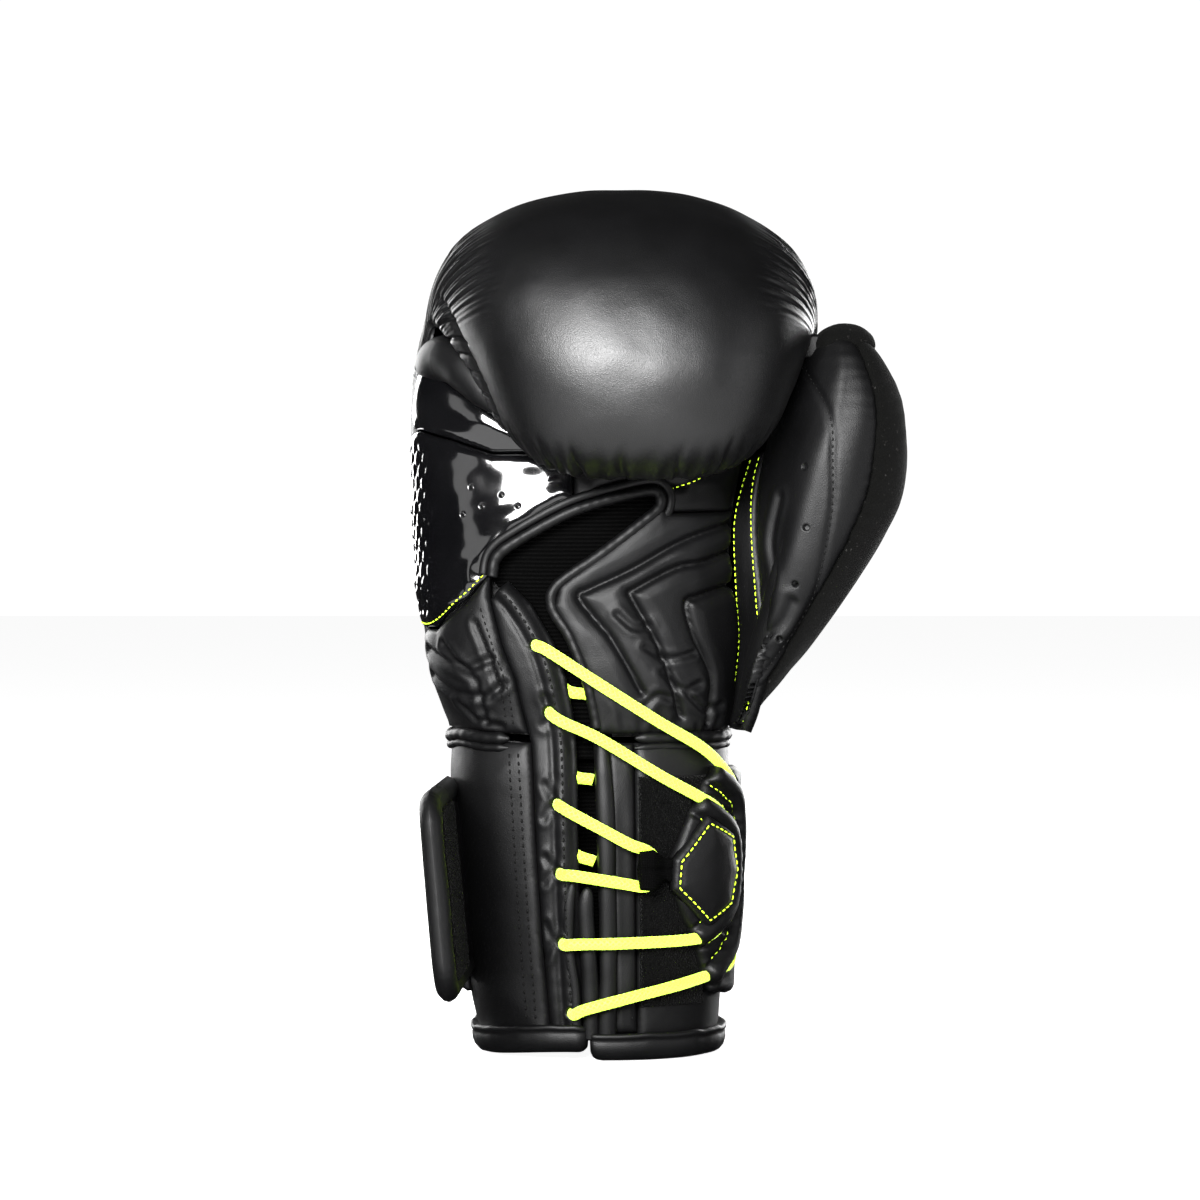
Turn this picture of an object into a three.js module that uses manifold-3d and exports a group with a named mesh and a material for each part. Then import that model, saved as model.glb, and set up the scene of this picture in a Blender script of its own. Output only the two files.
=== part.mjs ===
// A right-hand boxing glove with a lace-and-strap wrist closure, standing on its cuff.
// Millimetres, +Z up, palm towards -Y, thumb towards +X. Every soft part is drawn as the
// plain solid that it fills.
import * as THREE from "three";
import { mergeVertices } from "three/addons/utils/BufferGeometryUtils.js";
import Module from "manifold-3d";

const wasm = await Module();
wasm.setup();

// ---- driving dimensions ----
const CUFF_AXIS = [-20.4, 25.2]; // where the cuff's axis stands in the part's frame
const LEATHER = 1.4; // thickness of a leather panel
const GAP = 0.35; // air between two pieces that touch
const CUFF_FOAM = 8;
const PALM_FOAM = 5;
const LINING = 1.2;
const SQUARENESS = 2.3; // exponent of the superellipse sections
const CUFF_TOP = 115.5;
const HAND_BOTTOM = 120.5;
const LACE_RADIUS = 2.1;
const LACE_INSET = -4.7; // a lace's centre lies this far outside the cuff
const STRAP = { low: 22, high: 99, inner: -2.3, thick: 3 };
const FLAP_THICK = 6;
const HOOK_THICK = 1.2;

// ---- sections ----
// Cuff, palm and sides, by height: the four extremes of each horizontal section.
const CORE = [
  { z: 0, left: -43.5, right: 43, front: -42, back: 43, mid: 0 },
  { z: 8, left: -45.5, right: 44.5, front: -43, back: 44, mid: 0 },
  { z: 35, left: -48, right: 45.5, front: -44.5, back: 45, mid: 0 },
  { z: 70, left: -51.5, right: 46.8, front: -46, back: 46, mid: 0 },
  { z: 105, left: -55, right: 48, front: -45, back: 44, mid: 1 },
  { z: 120, left: -56.5, right: 48, front: -42, back: 43.5, mid: 2 },
  { z: 140, left: -63.5, right: 51.5, front: -44, back: 50, mid: 4 },
  { z: 165, left: -68, right: 55, front: -42, back: 56, mid: 4 },
  { z: 200, left: -70.5, right: 59, front: -38, back: 61, mid: 3 },
  { z: 230, left: -71, right: 63, front: -35, back: 62, mid: 1 },
  { z: 262, left: -66.5, right: 66, front: -33, back: 58, mid: -4 },
];
// The main padding, along its curl: crest on the outside, rim where its sides end.
const CURL = [
  { u: 0, left: -56.5, right: 48, crestY: 43.5, crestZ: 120.5, rimY: 2, rimZ: 120.5, thick: 9 },
  { u: 1, left: -65.7, right: 53, crestY: 53, crestZ: 152, rimY: 4, rimZ: 152, thick: 14 },
  { u: 2, left: -70, right: 58.5, crestY: 60.5, crestZ: 194, rimY: 3, rimZ: 192, thick: 21 },
  { u: 3, left: -71.3, right: 65, crestY: 63, crestZ: 238, rimY: 0, rimZ: 227, thick: 26 },
  { u: 4, left: -70.5, right: 73, crestY: 57, crestZ: 276, rimY: -4, rimZ: 247, thick: 32 },
  { u: 5, left: -68, right: 78, crestY: 39, crestZ: 303, rimY: -8, rimZ: 257, thick: 34 },
  { u: 6, left: -66, right: 80.5, crestY: 10, crestZ: 318, rimY: -11, rimZ: 262, thick: 34 },
  { u: 7, left: -65, right: 80.5, crestY: -21, crestZ: 321, rimY: -15, rimZ: 263.5, thick: 34 },
  { u: 8, left: -64, right: 80, crestY: -53, crestZ: 310, rimY: -20, rimZ: 262.5, thick: 34 },
  { u: 9, left: -60.5, right: 78.5, crestY: -77, crestZ: 286, rimY: -26, rimZ: 258, thick: 33 },
  { u: 10, left: -53, right: 75.5, crestY: -88, crestZ: 258, rimY: -32, rimZ: 251, thick: 31 },
  { u: 11, left: -44, right: 71, crestY: -87.5, crestZ: 235, rimY: -37, rimZ: 243, thick: 28 },
  { u: 12, left: -36, right: 65, crestY: -81, crestZ: 219.5, rimY: -41, rimZ: 236, thick: 23 },
  { u: 13, left: -30, right: 58, crestY: -68, crestZ: 212, rimY: -44, rimZ: 231, thick: 16 },
  { u: 14, left: -24, right: 50, crestY: -54, crestZ: 214, rimY: -46, rimZ: 228, thick: 9 },
];
// The thumb, by height.
const THUMB = [
  { z: 123, left: 52, right: 56, front: -24, back: -8, mid: -16 },
  { z: 132, left: 53.5, right: 61, front: -33, back: 2, mid: -13 },
  { z: 147, left: 55, right: 73, front: -41, back: 11, mid: -12 },
  { z: 162, left: 56.8, right: 84.5, front: -46, back: 15, mid: -13 },
  { z: 177, left: 58.8, right: 94.5, front: -50, back: 15, mid: -15 },
  { z: 192, left: 61, right: 103.5, front: -52, back: 12, mid: -18 },
  { z: 207, left: 63.5, right: 110, front: -53, back: 8, mid: -21 },
  { z: 222, left: 67.5, right: 112, front: -53, back: 3, mid: -24 },
  { z: 237, left: 75.5, right: 110.5, front: -51, back: -3, mid: -27 },
  { z: 251, left: 80.5, right: 106, front: -47, back: -10, mid: -29 },
  { z: 262, left: 83, right: 100, front: -41, back: -18, mid: -30 },
  { z: 268, left: 85.5, right: 93, front: -36, back: -24, mid: -30 },
];

// A smooth curve through the stations, read at one value of their first field.
function at(stations, value) {
  const key = Object.keys(stations[0])[0];
  const last = stations.length - 1;
  let i = stations.findIndex((s) => s[key] > value) - 1;
  if (i === -2) i = last - 1;
  i = Math.min(Math.max(i, 0), last - 1);
  const [a, b] = [stations[i], stations[i + 1]];
  const before = stations[Math.max(i - 1, 0)];
  const after = stations[Math.min(i + 2, last)];
  const span = b[key] - a[key];
  const t = (value - a[key]) / span;
  const found = { [key]: value };
  for (const k of Object.keys(a)) {
    if (k === key) continue;
    const startSlope = ((b[k] - before[k]) / (b[key] - before[key])) * span;
    const endSlope = ((after[k] - a[k]) / (after[key] - a[key])) * span;
    found[k] =
      (2 * t ** 3 - 3 * t ** 2 + 1) * a[k] +
      (t ** 3 - 2 * t ** 2 + t) * startSlope +
      (3 * t ** 2 - 2 * t ** 3) * b[k] +
      (t ** 3 - t ** 2) * endSlope;
  }
  return found;
}

const rounded = (c) => Math.sign(c) * Math.abs(c) ** (2 / SQUARENESS);
const radians = (degrees) => (degrees * Math.PI) / 180;

// A point on a horizontal section: 0 degrees is +X, 90 the back, 180 the left, 270 the front.
function sectionPoint(stations, degrees, z, inset) {
  const s = at(stations, z);
  const turn = radians(degrees);
  const depth = Math.sin(turn) > 0 ? s.back - s.mid : s.mid - s.front;
  return new THREE.Vector3(
    (s.left + s.right) / 2 + ((s.right - s.left) / 2 - inset) * rounded(Math.cos(turn)),
    s.mid + (depth - inset) * rounded(Math.sin(turn)),
    z,
  );
}
const core = (degrees, z, inset) => sectionPoint(CORE, degrees, z, inset);
const thumb = (degrees, z, inset) => sectionPoint(THUMB, degrees, z, inset);

// A point on the main padding: v runs from -1 at the left rim over the crest to 1.
function curl(v, u, inset) {
  // the padding is thinner at its sides than along its crest
  const sideInset = inset < 3 ? inset : 3 + (inset - 3) * 0.5;
  const s = at(CURL, u);
  const across = (v * Math.PI) / 2;
  const rise = new THREE.Vector2(s.crestY - s.rimY, s.crestZ - s.rimZ);
  rise.setLength(rise.length() - inset).multiplyScalar(rounded(Math.cos(across)));
  return new THREE.Vector3(
    (s.left + s.right) / 2 + ((s.right - s.left) / 2 - sideInset) * rounded(Math.sin(across)),
    s.rimY + rise.x,
    s.rimZ + rise.y,
  );
}

// ---- solids ----
function geometryOf(vertices, triangles) {
  const g = new THREE.BufferGeometry();
  g.setAttribute("position", new THREE.Float32BufferAttribute(vertices, 3));
  g.setIndex(triangles);
  return g;
}

function solid(geometry) {
  const g = geometry.clone();
  g.deleteAttribute("normal");
  g.deleteAttribute("uv");
  const merged = mergeVertices(g, 1e-3);
  const made = new wasm.Manifold(
    new wasm.Mesh({
      numProp: 3,
      vertProperties: merged.attributes.position.array,
      triVerts: new Uint32Array(merged.index.array),
    }),
  );
  if (made.volume() >= 0) return made;
  const turned = new Uint32Array(merged.index.array);
  for (let i = 0; i < turned.length; i += 3)
    [turned[i + 1], turned[i + 2]] = [turned[i + 2], turned[i + 1]];
  return new wasm.Manifold(
    new wasm.Mesh({
      numProp: 3,
      vertProperties: merged.attributes.position.array,
      triVerts: turned,
    }),
  );
}

function geometryFrom(manifold) {
  const m = manifold.getMesh();
  const vertices = [];
  for (let i = 0; i < m.numVert; i++)
    vertices.push(...m.vertProperties.subarray(i * m.numProp, i * m.numProp + 3));
  return geometryOf(vertices, [...m.triVerts]);
}

// The closed solid between two sheets of one surface over a patch of it. Its corners lie on
// one grid for the whole surface, so that nested and neighbouring pieces have matching facets.
const RING = 15; // degrees
const STEP_UP = 18; // millimetres
function gridValues([from, to], step) {
  const values = [from];
  for (let k = Math.floor(from / step) + 1; k * step < to - step * 0.02; k++)
    if (k * step > from + step * 0.02) values.push(k * step);
  return [...values, to];
}
function shell(surface, us, vs, outer, inner, stepU = RING, stepV = STEP_UP) {
  const vertices = [];
  const triangles = [];
  const columns = gridValues(us, stepU);
  const rows = gridValues(vs, stepV);
  for (const inset of [outer, inner])
    for (const v of rows)
      for (const u of columns) {
        const depth = typeof inset === "function" ? inset(u, v) : inset;
        vertices.push(...surface(u, v, depth).toArray());
      }
  const row = columns.length;
  const layer = row * rows.length;
  const stepsU = row - 1;
  const stepsV = rows.length - 1;
  const quad = (a, b, c, d) => triangles.push(a, b, c, a, c, d);
  for (let j = 0; j < stepsV; j++)
    for (let i = 0; i < stepsU; i++) {
      const a = j * row + i;
      quad(a, a + 1, a + row + 1, a + row);
      quad(layer + a, layer + a + row, layer + a + row + 1, layer + a + 1);
    }
  for (let i = 0; i < stepsU; i++) {
    const top = stepsV * row + i;
    quad(i, layer + i, layer + i + 1, i + 1);
    quad(top, top + 1, layer + top + 1, layer + top);
  }
  for (let j = 0; j < stepsV; j++) {
    const a = j * row;
    const b = a + row - 1;
    quad(a, a + row, layer + a + row, layer + a);
    quad(b, layer + b, layer + b + row, b + row);
  }
  return solid(geometryOf(vertices, triangles));
}

// The solid inside a stack of horizontal sections, closed flat at both ends.
function filled(surface, [z0, z1], inset, around, stepsZ) {
  const vertices = [];
  const triangles = [];
  for (let j = 0; j <= stepsZ; j++)
    for (let i = 0; i < around; i++)
      vertices.push(
        ...surface((360 * i) / around, z0 + ((z1 - z0) * j) / stepsZ, inset).toArray(),
      );
  for (let j = 0; j < stepsZ; j++)
    for (let i = 0; i < around; i++) {
      const a = j * around + i;
      const b = j * around + ((i + 1) % around);
      triangles.push(a, b, b + around, a, b + around, a + around);
    }
  const top = stepsZ * around;
  for (let i = 1; i < around - 1; i++) {
    triangles.push(0, i + 1, i);
    triangles.push(top, top + i, top + i + 1);
  }
  return solid(geometryOf(vertices, triangles));
}

function block([x0, x1], [y0, y1], [z0, z1]) {
  const box = new THREE.BoxGeometry(x1 - x0, y1 - y0, z1 - z0);
  return solid(box.translate((x0 + x1) / 2, (y0 + y1) / 2, (z0 + z1) / 2));
}

// A tube along points, with sides made by one extrusion of a round section.
function tube(points, radius, steps, sides = 6) {
  const path = new THREE.CatmullRomCurve3(points, false, "centripetal");
  const section = new THREE.Shape();
  for (let i = 0; i <= sides; i++) {
    const turn = (2 * Math.PI * i) / sides;
    section[i ? "lineTo" : "moveTo"](radius * Math.cos(turn), radius * Math.sin(turn));
  }
  return solid(new THREE.ExtrudeGeometry(section, { steps, extrudePath: path }));
}

// A prism through the palm side, from an outline drawn as [x, z] looking along +Y.
function prism(outline, [y0, y1] = [-110, 4]) {
  const shape = new THREE.Shape(outline.map(([x, z]) => new THREE.Vector2(x, z)));
  const made = new THREE.ExtrudeGeometry(shape, { depth: y1 - y0, bevelEnabled: false });
  return solid(made.rotateX(Math.PI / 2).translate(0, y1, 0));
}

const glove = new THREE.Group();
glove.position.set(CUFF_AXIS[0], CUFF_AXIS[1], 0);
const leather = new THREE.MeshStandardMaterial({ color: 0x17181a, roughness: 0.5 });
const patent = new THREE.MeshStandardMaterial({ color: 0x0b0b0d, roughness: 0.15 });
const suede = new THREE.MeshStandardMaterial({ color: 0x1a1917, roughness: 0.95 });
const cloth = new THREE.MeshStandardMaterial({ color: 0x0d0d0e, roughness: 0.9 });
const foam = new THREE.MeshStandardMaterial({ color: 0x3c3d40, roughness: 0.95 });
const neon = new THREE.MeshStandardMaterial({ color: 0xd7ff3e, roughness: 0.7 });

function add(name, manifold, material, parent = glove) {
  const mesh = new THREE.Mesh(geometryFrom(manifold), material);
  mesh.name = name;
  parent.add(mesh);
  return mesh;
}

// ---- pieces drawn on the front, as [x, z] looking along +Y ----
const HEM = { low: 2, high: 9, proud: 1.3, under: 1.3 };
const FACING_EDGE = [
  [-18.5, HEM.high + 1], [-21.5, 43], [-24, 80], [-25.5, 115],
  [-29, 128], [-31.5, 139.5], [-36.5, 152], [-41, 169],
];
const SLOT_LEFT = [
  [-5.5, HEM.high + 1], [-7, 40], [-8, 75], [-8.5, 113], [-10.2, 128],
  [-12.5, 140], [-17, 153], [-25.5, 167], [-34, 175],
];
// The bound edge of the palm slot, from its right foot over its bent top to the left.
const SLOT_BINDING = [
  [-1.2, 121.5], [-2.2, 128], [-5, 140], [-11, 155], [-17.5, 166], [-15.5, 174],
  [0, 185], [15, 196.5], [22, 203], [20, 208.5], [8, 206.5], [-10, 201],
  [-28, 191.5], [-37.5, 184.5], [-39.5, 177],
];
const EYELETS = [[-23.7, 152], [-18.6, 127.5], [-15.7, 94], [-14.6, 69], [-13.5, 43.4], [-10.2, 18]];
const EYELET_RADIUS = 2.6;
const PALM_TOP = 222;
const GUSSET_LINE = [[45, HAND_BOTTOM - 5], [48.5, 124], [51, 155], [48.2, 182], [49, 201], [55, 221]];

// The angle at which the front surface reaches x at a height.
function degreesAt(x, z) {
  let [low, high] = [181, 359];
  while (high - low > 0.01) {
    const middle = (low + high) / 2;
    if (core(middle, z, 0).x < x) low = middle;
    else high = middle;
  }
  return (low + high) / 2;
}
const onFront = (x, z, inset) => core(degreesAt(x, z), z, inset);
const frontTube = (line, radius, inset, steps, sides) =>
  tube(line.map(([x, z]) => onFront(x, z, inset)), radius, steps, sides);

// ---- cuff ----
const SLIT = { left: 262.5, right: 271 }; // the slit's two edges, in degrees round the cuff
const SEAM_LEFT = 150;
const SEAM_RIGHT = 390;
const cuffZ = [HEM.low + GAP, CUFF_TOP];
const facingSide = [...FACING_EDGE.map(([x, z]) => [x - GAP, z]), [-120, 169], [-120, -20], [-17.5, -20]];
const cuffShell = (range, zs, outer, inner) => shell(core, range, zs, outer, inner);
add("cuff_cover_left",
  cuffShell([SEAM_LEFT, 262], cuffZ, 0, LEATHER).intersect(prism(facingSide, [-110, 40])), leather);
add("cuff_cover_right", cuffShell([286, SEAM_RIGHT - 0.6], cuffZ, 0, LEATHER), leather);
add("cuff_cover_back", cuffShell([30, SEAM_LEFT - 0.6], cuffZ, 0, LEATHER), leather);
const padInset = [LEATHER + GAP, LEATHER + GAP + CUFF_FOAM];
const padZ = [HEM.low + GAP, CUFF_TOP];
add("cuff_pad_left", cuffShell([SEAM_LEFT, 239], padZ, ...padInset), foam);
add("cuff_pad_right", cuffShell([276, SEAM_RIGHT - 0.6], padZ, ...padInset), foam);
add("cuff_pad_back", cuffShell([30, SEAM_LEFT - 0.6], padZ, ...padInset), foam);
const liningInset = padInset[1] + GAP;
add("cuff_lining",
  cuffShell([SLIT.right, 360 + 238], padZ, liningInset, liningInset + LINING), cloth);

// The hem folds over the bottom edge: a wall outside, a floor and a wall inside.
function hem(range) {
  const inner = liningInset + LINING;
  const whole = cuffShell(range, [0, HEM.high], -HEM.proud, inner + HEM.under + GAP);
  const room = cuffShell([range[0] - 6, range[1] + 6], [HEM.low, HEM.high + 5], -GAP, inner + GAP);
  return whole.subtract(room);
}
add("hem_binding_left", hem([110.5, 262]), leather);
add("hem_binding_right", hem([271, 469.5]), leather);

// ---- laces ----
const ANCHOR = { front: 29.2, low: 24, high: 103, to: 357, inner: -1.9, outer: -7.9 };
// A lace comes out through its eyelet, runs to the strap and back, and goes in again.
function laceRoute(first, last, over, tailIn, tailOut) {
  const through = ([x, z]) => [onFront(x, z, 5), onFront(x, z, 1.2), onFront(x + 1.2, z - 0.4, -2.6)];
  const out = through(EYELETS[first]);
  const back = through(EYELETS[last]).reverse();
  const top = over.map(([a, z, byAngle]) =>
    byAngle ? core(a, z, LACE_INSET) : onFront(a, z, LACE_INSET));
  return [...tailIn.map((p) => onFront(...p)), ...out, ...top, ...back, ...tailOut.map((p) => onFront(...p))];
}
const LACES = {
  lace_outer: laceRoute(0, 5,
    [[-18, 149.5], [0, 138], [20, 124.5], [35, 113], [43, 104], [345, 95, true], [352, 85, true],
      [354, 69, true], [352, 53, true], [345, 42, true], [43, 33], [30, 29], [10, 24], [-5, 19.8]],
    [[-8, 134, 7], [-17, 139, 7.2], [-23, 147, 7.2]], [[-14, 20, 6.6]]),
  lace_inner: laceRoute(1, 4,
    [[-13, 124.5], [0, 117], [20, 104.5], [33, 96.5], [39.5, 91.5], [334, 84, true], [339, 77, true],
      [340.5, 69, true], [339, 61, true], [334, 54, true], [38.5, 46.5], [30, 44.5], [10, 44], [-8, 43.6]],
    [[-6, 104, 7], [-13, 109, 7.2], [-18, 122, 7.2]], [[-17.5, 45, 6.6]]),
  lace_centre: laceRoute(2, 3,
    [[-10, 91], [0, 85.5], [10, 79.8], [15.5, 77.5], [18.6, 74.5], [19.4, 70.5], [18.4, 66.5],
      [15, 64.4], [8, 65.6], [-8, 68.3]],
    [[-4, 74, 7], [-11, 79, 7.2], [-15.5, 89, 7.2]], [[-18.8, 70.5, 6.6]]),
};
const LACE_STEPS = { lace_outer: 52, lace_inner: 46, lace_centre: 28 };
const laceCutter = Object.entries(LACES).map(([name, route]) =>
  tube(route, LACE_RADIUS + GAP, LACE_STEPS[name]));
const clearOfLaces = (piece) => laceCutter.reduce((rest, cutter) => rest.subtract(cutter), piece);
for (const [name, route] of Object.entries(LACES))
  add(name, tube(route, LACE_RADIUS, LACE_STEPS[name]), neon);

// ---- lace facings, loop panel and tongue ----
const facingOutline = [...FACING_EDGE, ...SLOT_LEFT.slice().reverse()];
const facingSheet = shell(core, [220, 268], [HEM.high + 1, 175], 0, LEATHER);
const eyeletHoles = EYELETS.map(([x, z]) => {
  const at = onFront(x, z, 0);
  const pin = new THREE.CylinderGeometry(EYELET_RADIUS, EYELET_RADIUS, 12, 10);
  return solid(pin.translate(at.x, at.y, at.z));
});
add("lace_facing_left", clearOfLaces(
  eyeletHoles.reduce((rest, hole) => rest.subtract(hole), facingSheet.intersect(prism(facingOutline)))),
  leather);
add("lace_facing_right",
  cuffShell([SLIT.right, 285.6], [HEM.high + 1, CUFF_TOP], 0, LEATHER), leather);
add("loop_panel", cuffShell([287, 322], [20, 103], -1.2, -GAP), cloth);
add("tongue", shell(core, [250, 290], [12, 120], 12.6, 13.6), cloth);

// ---- strap on the right side and round the back ----
const anchorOutline = [[ANCHOR.front, 44], [ANCHOR.front, 93], [34, ANCHOR.high], [80, ANCHOR.high],
  [80, ANCHOR.low], [34, ANCHOR.low]];
add("strap_lace_anchor", clearOfLaces(
  cuffShell([300, ANCHOR.to], [ANCHOR.low, ANCHOR.high], ANCHOR.outer, ANCHOR.inner)
    .intersect(prism(anchorOutline, [-110, 20]))), leather);
add("strap_patch", cuffShell([degreesAt(31, 69), 331], [55, 83], ANCHOR.outer - GAP - 1, ANCHOR.outer - GAP),
  leather);
add("webbing_loop", clearOfLaces(
  cuffShell([280, 320], [66.8, 73.6], ANCHOR.outer, ANCHOR.inner)
    .intersect(prism([[14.5, 60], [28.8, 60], [28.8, 80], [14.5, 80]]))), cloth);
add("strap_wrap",
  cuffShell([ANCHOR.to + 1.2, 360 + 190.5], [STRAP.low, STRAP.high], STRAP.inner - STRAP.thick, STRAP.inner),
  leather);

// ---- strap flap, standing open on the left ----
const FLAP = {
  x: -49.8, y: -14, z: 28, length: 31.5, height: 75, gap: 2.5, heading: 2, lean: 5.4, corner: 15,
};
const flap = new THREE.Group();
const along = new THREE.Vector3(-Math.sin(radians(FLAP.heading)), -Math.cos(radians(FLAP.heading)), 0);
const upright = new THREE.Vector3(-Math.sin(radians(FLAP.lean)), 0, Math.cos(radians(FLAP.lean)));
const towardsCuff = upright.clone().cross(along).normalize();
upright.copy(along).cross(towardsCuff).normalize();
flap.quaternion.setFromRotationMatrix(new THREE.Matrix4().makeBasis(along, towardsCuff, upright));
flap.position.set(FLAP.x, FLAP.y, FLAP.z);
glove.add(flap);
// A flat piece in the flap's plane; only its free end has rounded corners.
function flapPiece(x0, x1, z0, z1, y0, y1, corner) {
  const s = new THREE.Shape();
  s.moveTo(x0, z0);
  s.lineTo(x1 - corner, z0);
  if (corner) s.absarc(x1 - corner, z0 + corner, corner, -Math.PI / 2, 0, false);
  s.lineTo(x1, z1 - corner);
  if (corner) s.absarc(x1 - corner, z1 - corner, corner, 0, Math.PI / 2, false);
  s.lineTo(x0, z1);
  s.closePath();
  const made = new THREE.ExtrudeGeometry(s, { depth: y1 - y0, bevelEnabled: false, curveSegments: 6 });
  return solid(made.rotateX(Math.PI / 2).translate(0, y1, 0));
}
["flap_base", "flap_middle", "flap_tip"].forEach((name, i) => {
  const start = i * (FLAP.length + FLAP.gap);
  const end = start + FLAP.length;
  const corner = i === 2 ? FLAP.corner : 0;
  const half = FLAP_THICK / 2;
  add(name, flapPiece(start, end, 0, FLAP.height, -half, half, corner), leather, flap);
});
for (const [i, name] of [[1, "hook_pad_middle"], [2, "hook_pad_tip"]]) {
  const start = i * (FLAP.length + FLAP.gap) + 1.5;
  const end = start + FLAP.length - 3 - (i === 2 ? 5 : 0);
  const near = FLAP_THICK / 2 + GAP;
  const corner = i === 2 ? FLAP.corner - 4 : 0;
  add(name, flapPiece(start, end, 6, FLAP.height - 6, near, near + HOOK_THICK, corner), cloth, flap);
}

// ---- wrist roll ----
const PIPING_RADIUS = 2.1;
const pipingRoute = (from, to) => {
  const points = [];
  for (let d = from; d <= to; d += 6) points.push(core(d, CUFF_TOP + 2.55, 0.3));
  return points;
};
add("wrist_roll_left", tube(pipingRoute(150, 238), PIPING_RADIUS, 16), leather);
add("wrist_roll_right", tube(pipingRoute(286, 388), PIPING_RADIUS, 18), leather);
add("wrist_roll_back", tube(pipingRoute(34, 142), PIPING_RADIUS, 18), leather);

// The wearer's thumb passes from the palm into the glove's thumb here.
const PASSAGE = { y: -10, z: 168, radius: 15, flat: 0.62 };
const passageTool = new THREE.CylinderGeometry(PASSAGE.radius, PASSAGE.radius, 52, 16);
passageTool.rotateZ(Math.PI / 2).scale(1, PASSAGE.flat, 1).translate(46, PASSAGE.y, PASSAGE.z);
const thumbPassage = solid(passageTool);

// ---- palm and little-finger side ----
const bindingCutter = frontTube(SLOT_BINDING, 1.7 + GAP, 0.9, 44);
add("palm_slot_binding", frontTube(SLOT_BINDING, 1.7, 0.9, 44), leather);
const front = [180.5, 360];
const frontShell = (z0, z1, outer, inner, outline) =>
  shell(core, front, [z0, z1], outer, inner).intersect(prism(outline, [-110, 30]));
const SIDE_SEAM = [[-80, 157], [-62, 157.5], [-50, 168], [-41.4, 178]];
const slotRoof = SLOT_BINDING.slice(9).reverse();
add("palm_lower_left", frontShell(HAND_BOTTOM, 190, 0, LEATHER,
  [[-80, 100], [-26, 100], ...FACING_EDGE.slice(3).map(([x, z]) => [x - GAP, z]),
    [-41.6, 177.4], [-50, 167.5], [-62, 157], [-80, 156.5]]).subtract(bindingCutter), leather);
add("side_panel_lower", frontShell(150, PALM_TOP, 0, LEATHER,
  [...SIDE_SEAM, [-38.5, 184], ...slotRoof.slice(2, 4), [-10, PALM_TOP], [-80, PALM_TOP]])
  .subtract(bindingCutter), patent);
add("palm_top", frontShell(180, PALM_TOP, 0, LEATHER,
  [[-9.5, PALM_TOP], [-9.5, 201.5], ...slotRoof.slice(4), [24, 203], [25.5, 200], [48.5, 200.4],
    [54.5, 221], [54.8, PALM_TOP + 2]]).subtract(bindingCutter), leather);
add("palm_quilted", frontShell(HAND_BOTTOM, 199.6, 0, LEATHER,
  [[44.4, 100], ...GUSSET_LINE.slice(0, 5).map(([x, z]) => [x - 0.5, z]), [24.5, 200],
    ...SLOT_BINDING.slice(0, 9).reverse(), [-0.5, 100]]).subtract(bindingCutter).subtract(thumbPassage),
  leather);
add("thumb_gusset", frontShell(HAND_BOTTOM, PALM_TOP, 0, LEATHER,
  [...GUSSET_LINE, [55, 230], [90, 230], [90, 108]]).subtract(thumbPassage), leather);
const softSpot = [[-33, 100], [-36, 135], [-42, 152], [-45, 172], [-43, 187], [-31, 197], [-8, 207],
  [16, 213], [28, 206], [22, 195], [2, 181], [-8, 170], [0, 152], [4, 136], [5.5, 100]];
add("palm_foam", shell(core, front, [HAND_BOTTOM, PALM_TOP], padInset[0], padInset[0] + PALM_FOAM)
  .subtract(prism(softSpot)).subtract(thumbPassage), foam);
const meshOutline = [[-14, 112], [-17, 140], [-24, 156], [-41.5, 176], [-41, 185.5], [-29, 194.5], [-8, 204],
  [16, 210.5], [25, 204], [18, 194], [0, 182.5], [-12, 171], [-14.5, 166], [-3, 150], [1, 136], [2.5, 112]];
add("slot_mesh", clearOfLaces(
  shell(core, [225, 300], [150, 214], 3.1, 4.1).intersect(prism(meshOutline))), cloth);
const palmLiningInset = padInset[0] + PALM_FOAM + GAP;
add("palm_lining",
  shell(core, front, [HAND_BOTTOM, PALM_TOP], palmLiningInset + 3, palmLiningInset + 3 + LINING)
    .subtract(thumbPassage), cloth);

// ---- back of the hand and the curled main padding ----
const BEND = 2.35; // where the fist bends, along the curl
const END = 14;
const side = 0.985;
const padding = (u) => at(CURL, u).thick;
const curlShell = (us, outer, inner, stepU) =>
  shell((u, v, inset) => curl(v / 90, u, inset), us, [-90 * side, 90 * side], outer, inner, stepU, 18);
add("back_cover", curlShell([0, BEND - 0.03], 0, LEATHER, 0.5), leather);
add("back_foam", curlShell([0.1, BEND - 0.03], padInset[0], (u) => padInset[0] + padding(u), 0.5), foam);
add("back_lining", curlShell([0.1, BEND - 0.03], (u) => padInset[0] + padding(u) + GAP,
  (u) => padInset[0] + padding(u) + GAP + LINING, 0.5), cloth);
add("fist_cover", curlShell([BEND + 0.03, END], 0, LEATHER, 0.5), leather);
add("fist_foam",
  curlShell([BEND + 0.03, END - 0.05], padInset[0], (u) => padInset[0] + padding(u), 0.5), foam);
add("fist_lining", curlShell([BEND + 0.03, END - 0.4], (u) => padInset[0] + padding(u) + GAP,
  (u) => padInset[0] + padding(u) + GAP + LINING, 0.5), cloth);
const fistFront = (z1, outline) =>
  shell(core, front, [PALM_TOP + 1, z1], 0, LEATHER).intersect(prism(outline, [-110, 0]));
add("finger_cover", fistFront(244, [[-30, 215], [54, 215], [54, 260], [-30, 260]]), leather);
add("side_panel_upper", fistFront(242, [[-80, 233.4], [-68, 233.4], [-58, 230], [-42, 223], [-30.5, 223],
  [-30.5, 238], [-44, 243], [-80, 243]]), patent);
const GRIP = { y: -12, z: 204, radius: 8, left: -36, right: 30 };
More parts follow.
